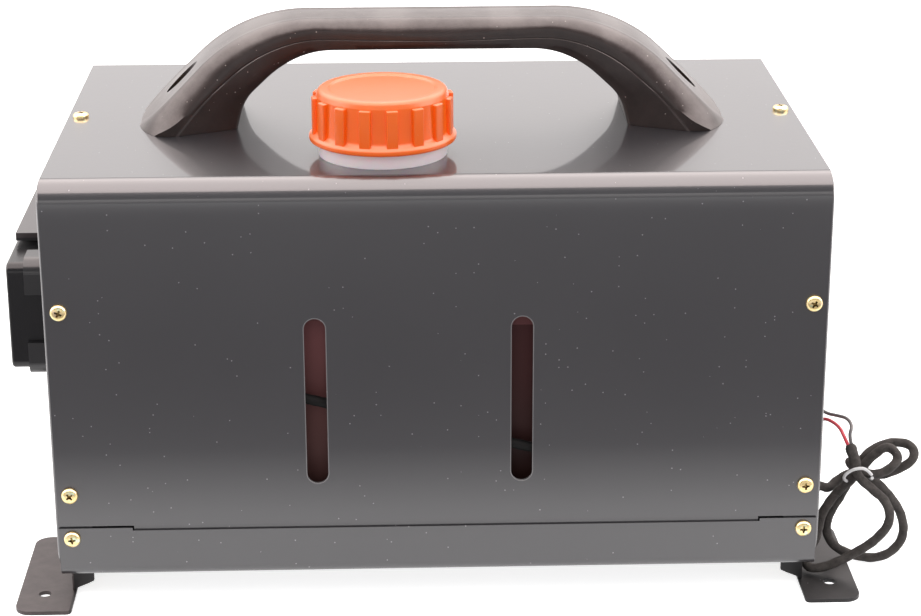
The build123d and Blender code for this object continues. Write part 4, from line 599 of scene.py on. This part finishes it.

# ----------------------------------------------------
# Fuel tank. Blow-moulded polyethylene, strapped down behind the front of the case. Its dark wine red,
# lighter towards the top where it shows through the sight slots, is painted shade of the dark inside
# of the case; below a line on the right half it is darker still, a painted shadow.
tank_plastic, tree, shader = new_material("tank_plastic", (0.2, 0.06, 0.06), 0.55, Specular_IOR_Level=0.3)
darkest_level, lightest_level, unevenness = 60 * mm, 160 * mm, 20 * mm
shade_left, shade_top = -10 * mm, 144.5 * mm
place = axes(tree)
uneven_level = maths(tree, "MULTIPLY_ADD", grain(tree, 30, 2), unevenness, place["Z"])
# Painted shade: the tank is dark, and lighter towards the top, as light falls inside the case.
shaded_wine = colour_steps(tree, share_between(tree, uneven_level, darkest_level, lightest_level), [
    (0, (0.06, 0.03, 0.026)), (0.5, (0.12, 0.045, 0.042)), (1, (0.24, 0.085, 0.088))])
# Painted shadow: darker on the right half below a line.
right_half = maths(tree, "GREATER_THAN", place["X"], shade_left)
below_line = maths(tree, "LESS_THAN", place["Z"], shade_top)
in_shade = maths(tree, "MULTIPLY", right_half, below_line)
tree.links.new(mixed(tree, in_shade, shaded_wine, (0.36, 0.28, 0.28), "MULTIPLY"), shader.inputs["Base Color"])
raise_by(tree, shader, grain(tree, 60, 3), 0.6 * mm, 0.4)
dress(tank_plastic, "fuel_tank")

# ----------------------------------------------------
# Plated hardware. Steel bolts, screws and the pump's clamp, zinc-plated with a yellow film that
# is uneven in its tint.
zinc, tree, shader = new_material("yellow_zinc", (0.8, 0.66, 0.42), 0.25, Metallic=1.0)
tint = colour_steps(tree, grain(tree, 300, 3), [
    (0.25, (0.75, 0.6, 0.62)), (0.42, (0.86, 0.74, 0.42)), (0.55, (0.85, 0.66, 0.3)),
    (0.68, (0.6, 0.78, 0.62)), (0.8, (0.85, 0.6, 0.5))])
tree.links.new(tint, shader.inputs["Base Color"])
raise_by(tree, shader, grain(tree, 1500, 3), 0.03 * mm, 0.5)
dress(zinc, "foot_screws", "handle_bolts", "heater_bolts", "pump_clamp")

# ----------------------------------------------------
# Black mouldings. The heater's shells, fans, guard and nozzle, its control unit, the tank's outlet
# and the two halves of the hand controller, all injection moulded.
black_plastic = grained("black_plastic", (0.008, 0.008, 0.009), 0.24, 900, 3, 0.05 * mm, 0.4,
                        (420, 0.03, (0.3, 0.3, 0.3), 0.5), Specular_IOR_Level=0.4)
dress(black_plastic, "heater_lower_shell", "heater_upper_shell", "hot_air_fan", "combustion_fan",
      "control_unit", "inlet_guard", "outlet_nozzle", "controller_back", "controller_front", "tank_outlet")

# ----------------------------------------------------
# Controller holder. Black moulded bracket, flat on the left end panel, that the hand controller
# sits in under a shelf. Its colour is lighter on the top of the shelf.
shelf_level = box_of("controller_holder")[1].z - 2.5 * mm
holder_plastic, tree, shader = new_material("holder_plastic", (0.018, 0.018, 0.019), 0.3, Coat_Weight=0.3)
# The top of the shelf is coloured lighter.
on_shelf = maths(tree, "GREATER_THAN", axes(tree)["Z"], shelf_level)
lighter_on_shelf = colour_steps(tree, on_shelf, [(0.4, (0.012, 0.012, 0.013)), (0.6, (0.045, 0.036, 0.037))])
add_specks(tree, shader, lighter_on_shelf, 420, 0.03, (0.3, 0.3, 0.3), 0.5)
raise_by(tree, shader, grain(tree, 900, 3), 0.05 * mm, 0.4)
dress(holder_plastic, "controller_holder")

# ----------------------------------------------------
# Bare parts inside. The pale moulded filter, the cast aluminium exchanger and blower housing, and
# the turned, drawn and wound steel pieces of the burner, the motor and the pump.
dress(grained("filter_plastic", (0.7, 0.7, 0.66), 0.3, 300, 2, 0.06 * mm, 0.4), "fuel_filter")
dress(grained("cast_aluminium", (0.55, 0.55, 0.56), 0.5, 900, 4, 0.2 * mm, 0.7, Metallic=1.0),
      "heat_exchanger", "blower_housing")
dress(grained("plain_steel", (0.5, 0.5, 0.51), 0.32, 600, 3, 0.06 * mm, 0.5, Metallic=1.0),
      "burner_tube", "glow_plug", "blower_motor", "motor_shaft", "fuel_pump", "pump_plunger",
      "pump_spring", "exhaust_stub", "air_intake_stub")

# ----------------------------------------------------
# Controller window, board and keys. A glossy dark window glued into the face, a printed circuit
# board held between the two halves, and four rubber keys that stand out through the face.
dress(grained("display_window", (0.012, 0.014, 0.018), 0.08, 60, 1, 0.02 * mm, 0.2, Coat_Weight=1.0),
      "display_lens")
dress(grained("circuit_board", (0.01, 0.12, 0.04), 0.4, 400, 2, 0.1 * mm, 0.4), "controller_board")
dress(grained("key_rubber", (0.12, 0.12, 0.125), 0.55, 1500, 2, 0.05 * mm, 0.5),
      "power_button", "set_button", "up_button", "down_button")

# ----------------------------------------------------
# Carrying handle. Nylon moulding with a parting line along its side; each foot flares out and has
# a deep round pocket for the bolt that holds it to the cover. Satin, a little dusty. Faces that look up
# are lighter, which is dust and a painted sheen, with lighter streaks of painted sheen, and the
# brownish red tint is partly a painted reflection of the orange cap.


def rounded(corners, radii, steps):
    """Points of a polyline in a plane whose inner corners are rounded by the radii given."""
    points = [Vector(corners[0])]
    for before, corner, after, radius in zip(corners, corners[1:], corners[2:], radii):
        before, corner, after = Vector(before), Vector(corner), Vector(after)
        back, on = (before - corner).normalized(), (after - corner).normalized()
        half = back.angle(on) / 2
        reach = radius / (sin(half) / cos(half))
        centre = corner + (back + on).normalized() * radius / sin(half)
        first, last = corner + back * reach - centre, corner + on * reach - centre
        for step in range(steps + 1):
            arm = first.lerp(last, step / steps)
            points.append(centre + arm.normalized() * radius)
    points.append(Vector(corners[-1]))
    return points


def along_path(points, share):
    """Point at a share of a polyline's length."""
    lengths = [(b - a).length for a, b in zip(points, points[1:])]
    target = share * sum(lengths)
    for a, b, length in zip(points, points[1:], lengths):
        if target <= length:
            return a.lerp(b, target / length if length else 0)
        target -= length
    return points[-1].copy()


def cut_out(base, cutters):
    """Cuts closed meshes out of an object, and removes them."""
    for cutter in cutters:
        modifier = base.modifiers.new("cut", "BOOLEAN")
        modifier.operation = "DIFFERENCE"
        modifier.object = cutter
        modifier.solver = "EXACT"
    bpy.context.view_layer.update()
    evaluated = base.evaluated_get(bpy.context.evaluated_depsgraph_get())
    mesh = bpy.data.meshes.new_from_object(evaluated)
    base.modifiers.clear()
    base.data = mesh
    for cutter in cutters:
        bpy.data.objects.remove(cutter)


foot_level = cover_high.z / mm + 0.1
outer_half = rounded([(150.2, foot_level), (95.5, 276), (0, 276)], [82], 24)
inner_half = rounded([(99.5, foot_level), (95.5, 237), (69.5, 260.3), (0, 260.3)], [22, 50], 16)
grip_half = 19.5
plan = rounded([(0, grip_half), (62, grip_half), (100, 27.5), (140.5, 45.5), (150, 20.5), (150, 0)],
               [60, 90, 13, 16], 12)


def half_width(x):
    """Half width of the handle in plan, at a distance from its middle."""
    last_x = 149.6
    x = min(abs(x), last_x)
    for a, b in zip(plan, plan[1:]):
        if a.x <= x <= b.x and b.x > a.x:
            return a.y + (b.y - a.y) * (x - a.x) / (b.x - a.x)
    return plan[-2].y


shell = bmesh.new()
stations, groove_depth, crown_height = 150, 0.35, 0.6
handle_rings = []
for station in range(stations + 1):
    share = station / stations * 2 - 1
    side = 1 if share >= 0 else -1
    outer = along_path(outer_half, 1 - abs(share))
    inner = along_path(inner_half, 1 - abs(share))
    thick = (outer - inner).length
    part_line = 0.3 + 0.3 * abs(share) ** 1.5
    inner_wide, outer_wide = half_width(inner.x), half_width(outer.x)
    inner_round = min(2.5, 0.4 * inner_wide)
    outer_round = min(9.0 + 0.3 * max(0.0, outer_wide - grip_half), 0.75 * outer_wide)
    outer_start = 1 - outer_round / thick
    # Half of the section, from the middle of the inside to the middle of the outside: how far
    # out each point is, as a share of the thickness, and its half width.
    half_ring = [(0.0, (inner_wide - inner_round) * step / 4) for step in range(5)]
    for step in range(1, 4):
        angle = pi / 2 * step / 4
        half_ring.append((inner_round * (1 - cos(angle)) / thick,
                          inner_wide - inner_round + inner_round * sin(angle)))
    for share_in in (0.2, part_line - 0.035, part_line - 0.018, part_line, part_line + 0.018,
                     part_line + 0.035, (part_line + outer_start) / 2, outer_start):
        share_in = max(inner_round / thick, min(share_in, outer_start + 0.0005))
        wide = half_width(inner.x + (outer.x - inner.x) * share_in)
        groove = groove_depth if abs(share_in - part_line) < 1e-6 else 0.0
        half_ring.append((share_in, wide - groove))
    start_wide = half_width(inner.x + (outer.x - inner.x) * outer_start)
    for step in range(1, 8):
        angle = pi / 2 * step / 8
        here = start_wide * (1 - step / 8) + outer_wide * (step / 8)
        half_ring.append((1 - outer_round * (1 - sin(angle)) / thick,
                          here - outer_round * (1 - cos(angle))))
    for step in range(5):
        crown = -crown_height * (1 - step / 4) ** 2
        half_ring.append((1.0 + crown / thick, (outer_wide - outer_round) * (1 - step / 4)))
    ring = []
    for spots, sign in ((half_ring, -1), (half_ring[::-1][1:-1], 1)):
        for share_in, wide in spots:
            point = inner.lerp(outer, share_in)
            height = max(point.y, foot_level)
            ring.append(shell.verts.new((side * point.x * mm, sign * wide * mm, height * mm)))
    handle_rings.append(ring)
for near, far in zip(handle_rings, handle_rings[1:]):
    for step in range(len(near)):
        after = (step + 1) % len(near)
        shell.faces.new((near[step], near[after], far[after], far[step]))
shell.faces.new(handle_rings[0])
shell.faces.new(list(reversed(handle_rings[-1])))
closed_up(shell)
handle_moulding = finished("handle_moulding", shell)
pocket_x, pocket_floor, pocket_radius, pocket_depth = 129 * mm, 229 * mm, 8 * mm, 50 * mm
pockets = []
for side in (-1, 1):
    pocket = bmesh.new()
    pocket_middle = Matrix.Translation((side * pocket_x, 0, pocket_floor + pocket_depth / 2))
    bmesh.ops.create_cone(pocket, cap_ends=True, segments=48, radius1=pocket_radius, radius2=pocket_radius,
                          depth=pocket_depth, matrix=pocket_middle)
    pockets.append(finished("pocket", pocket))
cut_out(handle_moulding, pockets)
smooth(handle_moulding, 38)

handle_plastic, tree, shader = new_material("handle_plastic", (0.02, 0.017, 0.016), 0.33)
upwards = axes(tree, add_node(tree, "ShaderNodeNewGeometry").outputs["Normal"])["Z"]
# Faces that look up are lighter: dust, and a painted sheen from the light above. The streaks are painted
# sheen.
dust_and_sheen = share_between(tree, upwards, 0.08, 0.9)
bands = add_node(tree, "ShaderNodeTexWave", bands_direction="X", i_Scale=5.2, i_Distortion=2.5, i_Detail=1)
tree.links.new(add_node(tree, "ShaderNodeTexCoord").outputs["Object"], bands.inputs["Vector"])
sheen_streak = maths(tree, "MULTIPLY", maths(tree, "POWER", bands.outputs["Fac"], 6.0), dust_and_sheen)
tone = maths(tree, "ADD", maths(tree, "MULTIPLY", grain(tree, 120, 4, 0.65), 0.5),
             maths(tree, "MULTIPLY", sheen_streak, 0.4))
tone = maths(tree, "ADD", tone, maths(tree, "MULTIPLY", dust_and_sheen, 0.5))
# The warm brownish red of these colours is partly a painted reflection of the orange cap.
handle_colour = colour_steps(tree, tone, [(0.15, (0.014, 0.0085, 0.0075)), (0.42, (0.03, 0.0195, 0.0175)),
                                          (1.0, (0.17, 0.146, 0.138))])
add_specks(tree, shader, handle_colour, 460, 0.14, (0.55, 0.48, 0.44), 0.5)
fine = raise_by(tree, shader, grain(tree, 1600, 3), 0.08 * mm, 0.5)
raise_by(tree, shader, grain(tree, 70, 2), 0.4 * mm, 0.12, fine)
handle_moulding.data.materials.clear()
handle_moulding.data.materials.append(handle_plastic)
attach(handle_moulding, "case")
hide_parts("handle")

# ----------------------------------------------------
# Filler cap. Orange polyethylene moulding, lighter and pinker on faces that look up, a painted highlight:
# a plain skirt over a rolled bead, a shallow dished top and sixteen grip ribs round the skirt, spaced by a
# Geometry Nodes tree.
cap_plastic, tree, shader = new_material("orange_cap_plastic", (1.0, 0.15, 0.006), 0.28,
                                         Subsurface_Weight=0.08, Subsurface_Scale=4 * mm)
shader.inputs["Subsurface Radius"].default_value = (1.0, 0.35, 0.1)
raise_by(tree, shader, grain(tree, 400, 3), 0.08 * mm, 0.5)
upwards = axes(tree, add_node(tree, "ShaderNodeNewGeometry").outputs["Normal"])["Z"]
# Painted highlight: faces that look up are lighter and pinker.
top_highlighted = colour_steps(tree, upwards, [(0.1, (1.0, 0.15, 0.006)), (0.95, (1.0, 0.3, 0.13))])
add_specks(tree, shader, top_highlighted, 700, 0.02, (1, 0.7, 0.5), 0.4)

cap_foot = box_of("filler_cap")[0].z
cap_profile = rounded([(30.5, 0.3), (36.2, 0.3), (36.2, 2.9), (33.0, 5.2), (32.5, 22.6), (31.3, 25.9),
                       (26.6, 25.9), (25.6, 25.1), (0.01, 25.1)], [1.2, 1.2, 2.2, 1.2, 2.4, 1.6, 1.4], 6)
turned_cap, cap_rings = turned_form(cap_profile, 128, (neck_x, neck_y, cap_foot))
turned_cap.faces.new([ring[0] for ring in cap_rings])
closed_up(turned_cap)
cap_body = finished("filler_cap_moulding", turned_cap)
smooth(cap_body, 40)
cap_body.data.materials.append(cap_plastic)

rib_depth, rib_width, rib_height, rib_bevel = 4.6 * mm, 5.7 * mm, 19.4 * mm, 0.75 * mm
one_rib = bmesh.new()
bmesh.ops.create_cube(one_rib, size=1.0, matrix=Matrix.Diagonal((rib_depth, rib_width, rib_height, 1)))
bmesh.ops.bevel(one_rib, geom=one_rib.edges[:], offset=rib_bevel, segments=3, profile=0.6, affect="EDGES")
cap_rib = finished("cap_rib", one_rib)
cap_rib.data.shade_smooth()


def instancing_tree(name, inputs):
    """Empty Geometry Nodes tree with named inputs; gives the tree and its input and output nodes."""
    group = bpy.data.node_groups.new(name, "GeometryNodeTree")
    group.interface.new_socket(name="Geometry", in_out="INPUT", socket_type="NodeSocketGeometry")
    for socket_name, socket_type in inputs:
        group.interface.new_socket(name=socket_name, in_out="INPUT", socket_type=socket_type)
    group.interface.new_socket(name="Geometry", in_out="OUTPUT", socket_type="NodeSocketGeometry")
    return group, add_node(group, "NodeGroupInput"), add_node(group, "NodeGroupOutput")


def end_tree(tree, geometry, given, made):
    """Ends a Geometry Nodes tree: its instances are made real and given the material."""
    real = add_node(tree, "GeometryNodeRealizeInstances")
    tree.links.new(geometry, real.inputs[0])
    coat = add_node(tree, "GeometryNodeSetMaterial")
    tree.links.new(real.outputs[0], coat.inputs["Geometry"])
    tree.links.new(given.outputs["Material"], coat.inputs["Material"])
    tree.links.new(coat.outputs[0], made.inputs["Geometry"])


def run_tree(holder, group, values):
    """Runs a Geometry Nodes tree on an object with its inputs set, and gives the result as a mesh."""
    modifier = holder.modifiers.new(group.name, "NODES")
    modifier.node_group = group
    for item in group.interface.items_tree:
        if item.item_type == "SOCKET" and item.in_out == "INPUT" and item.name in values:
            modifier[item.identifier] = values[item.name]
    bpy.context.view_layer.update()
    mesh = bpy.data.meshes.new_from_object(holder.evaluated_get(bpy.context.evaluated_depsgraph_get()))
    bpy.data.objects.remove(holder)
    return mesh


ring_tree, given, made = instancing_tree("rib_ring", [
    ("Count", "NodeSocketInt"), ("Radius", "NodeSocketFloat"), ("Start", "NodeSocketFloat"),
    ("Centre", "NodeSocketVector"), ("Material", "NodeSocketMaterial")])
circle = add_node(ring_tree, "GeometryNodeMeshCircle")
spot = add_node(ring_tree, "GeometryNodeInputPosition")
outward = add_node(ring_tree, "FunctionNodeAlignRotationToVector", axis="X")
placed = add_node(ring_tree, "GeometryNodeInstanceOnPoints")
turned_ring = add_node(ring_tree, "GeometryNodeTransform")
turn_vector = add_node(ring_tree, "ShaderNodeCombineXYZ")
for out, into in (
    (given.outputs["Count"], circle.inputs["Vertices"]),
    (given.outputs["Radius"], circle.inputs["Radius"]),
    (spot.outputs[0], outward.inputs["Vector"]),
    (circle.outputs["Mesh"], placed.inputs["Points"]),
    (given.outputs["Geometry"], placed.inputs["Instance"]),
    (outward.outputs["Rotation"], placed.inputs["Rotation"]),
    (given.outputs["Start"], turn_vector.inputs["Z"]),
    (placed.outputs[0], turned_ring.inputs["Geometry"]),
    (given.outputs["Centre"], turned_ring.inputs["Translation"]),
    (turn_vector.outputs[0], turned_ring.inputs["Rotation"]),
):
    ring_tree.links.new(out, into)
end_tree(ring_tree, turned_ring.outputs[0], given, made)
cap_grip = new_object("cap_grip_ribs", run_tree(cap_rib, ring_tree, {
    "Count": 16, "Radius": 32.4 * mm, "Start": radians(7.9),
    "Centre": (neck_x, neck_y, cap_foot + 12.6 * mm), "Material": cap_plastic}))
for cap_piece in (cap_body, cap_grip):
    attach(cap_piece, "cap")
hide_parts("filler_cap")
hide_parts("filler_cap")

# ----------------------------------------------------
# Case screws. Yellow zinc-plated steel pan heads with a cross recess, driven into the end panels'
# flanges; each one stopped at its own angle.
head_height, head_reach, recess_reach = 2.6 * mm, 4.1 * mm, 2.6 * mm
head_profile = [(0.01, -8), (1.7, -8), (2.0, -7.6), (2.0, 0), (4.1, 0), (4.12, 0.9), (3.95, 1.5),
                (3.5, 2.05), (2.8, 2.4), (1.8, 2.55), (0.01, 2.6)]
head, _ = turned_form(head_profile, 40)
closed_up(head)
screw = finished("pan_screw", head)
cutters = []
for long_x, long_y, turned_by in ((5.0, 1.25, 0), (1.25, 5.0, 0), (2.6, 2.6, pi / 4)):
    wedge = bmesh.new()
    bmesh.ops.create_cube(wedge, size=1.0, matrix=Matrix.Translation((0, 0, head_height)) @ Matrix.Rotation(
        turned_by, 4, "Z") @ Matrix.Diagonal((long_x * mm, long_y * mm, 3.2 * mm, 1)))
    for vertex in wedge.verts:
        if vertex.co.z < head_height:
            vertex.co.x *= 0.5
            vertex.co.y *= 0.5
    cutters.append(finished("recess", wedge))
cut_out(screw, cutters)
recess = screw.data.attributes.new("recess", "FLOAT", "FACE")
for index, polygon in enumerate(screw.data.polygons):
    radial = hypot(polygon.center.x, polygon.center.y)
    dome = head_height - (radial / head_reach) ** 2 * 1.1 * mm
    is_inside = radial < recess_reach and 0 < polygon.center.z < dome - 0.15 * mm
    recess.data[index].value = 1.0 if is_inside else 0.0
smooth(screw, 30)

zinc_screw, tree, shader = new_material("yellow_zinc_screw", (0.8, 0.66, 0.42), 0.3, Metallic=1.0)
film = colour_steps(tree, grain(tree, 260, 3), [
    (0.25, (0.9, 0.62, 0.56)), (0.4, (0.9, 0.74, 0.42)), (0.55, (0.86, 0.66, 0.3)),
    (0.68, (0.66, 0.8, 0.6)), (0.8, (0.9, 0.64, 0.5))])
# Painted shade: the faces in the cross recess are darker.
deep = add_node(tree, "ShaderNodeAttribute", attribute_name="recess").outputs["Fac"]
shaded = mixed(tree, maths(tree, "MULTIPLY", deep, 0.85), film, (0.16, 0.1, 0.02))
tree.links.new(shaded, shader.inputs["Base Color"])
raise_by(tree, shader, grain(tree, 1500, 3), 0.03 * mm, 0.5)

seat_x, seat_levels = 182 * mm, (158 * mm, 62.3 * mm, 38.8 * mm)
seats = []
for side in (-1, 1):
    for front in (-1, 1):
        for level in seat_levels:
            seats.append(((side * seat_x, front * cover_high.y, level), (0, front, 0)))
    seats.append(((side * seat_x, 0, cover_high.z), (0, 0, 1)))
end_panel_x = box_of("right_end_panel")[1].x
seats.append(((end_panel_x, -70 * mm, 103 * mm), (1, 0, 0)))
seat_mesh = bpy.data.meshes.new("screw_seats")
seat_mesh.from_pydata([spot for spot, _ in seats], [], [])
facing_data = seat_mesh.attributes.new("facing", "FLOAT_VECTOR", "POINT")
for index, (_, way) in enumerate(seats):
    facing_data.data[index].vector = way

screw_tree, given, made = instancing_tree("screws_on_seats", [
    ("Screw", "NodeSocketObject"), ("Seed", "NodeSocketInt"), ("Turn", "NodeSocketFloat"),
    ("Material", "NodeSocketMaterial")])
template = add_node(screw_tree, "GeometryNodeObjectInfo")
facing = add_node(screw_tree, "GeometryNodeInputNamedAttribute", data_type="FLOAT_VECTOR", i_Name="facing")
stands = add_node(screw_tree, "FunctionNodeAlignRotationToVector", axis="Z")
chance = add_node(screw_tree, "FunctionNodeRandomValue", data_type="FLOAT")
spun = add_node(screw_tree, "FunctionNodeAxisAngleToRotation", i_Axis=(0, 0, 1))
both = add_node(screw_tree, "FunctionNodeRotateRotation", rotation_space="LOCAL")
placed = add_node(screw_tree, "GeometryNodeInstanceOnPoints")
for out, into in (
    (given.outputs["Screw"], template.inputs["Object"]),
    (facing.outputs["Attribute"], stands.inputs["Vector"]),
    (given.outputs["Turn"], chance.inputs[3]),
    (given.outputs["Seed"], chance.inputs["Seed"]),
    (chance.outputs[1], spun.inputs["Angle"]),
    (stands.outputs["Rotation"], both.inputs["Rotation"]),
    (spun.outputs[0], both.inputs["Rotate By"]),
    (given.outputs["Geometry"], placed.inputs["Points"]),
    (template.outputs["Geometry"], placed.inputs["Instance"]),
    (both.outputs[0], placed.inputs["Rotation"]),
):
    screw_tree.links.new(out, into)
end_tree(screw_tree, placed.outputs[0], given, made)
case_screws = new_object("case_screws_plated", run_tree(new_object("screw_seats", seat_mesh), screw_tree, {
    "Screw": screw, "Seed": 7, "Turn": 1.57, "Material": zinc_screw}))
bpy.data.objects.remove(screw)
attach(case_screws, "case")
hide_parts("case_screws")
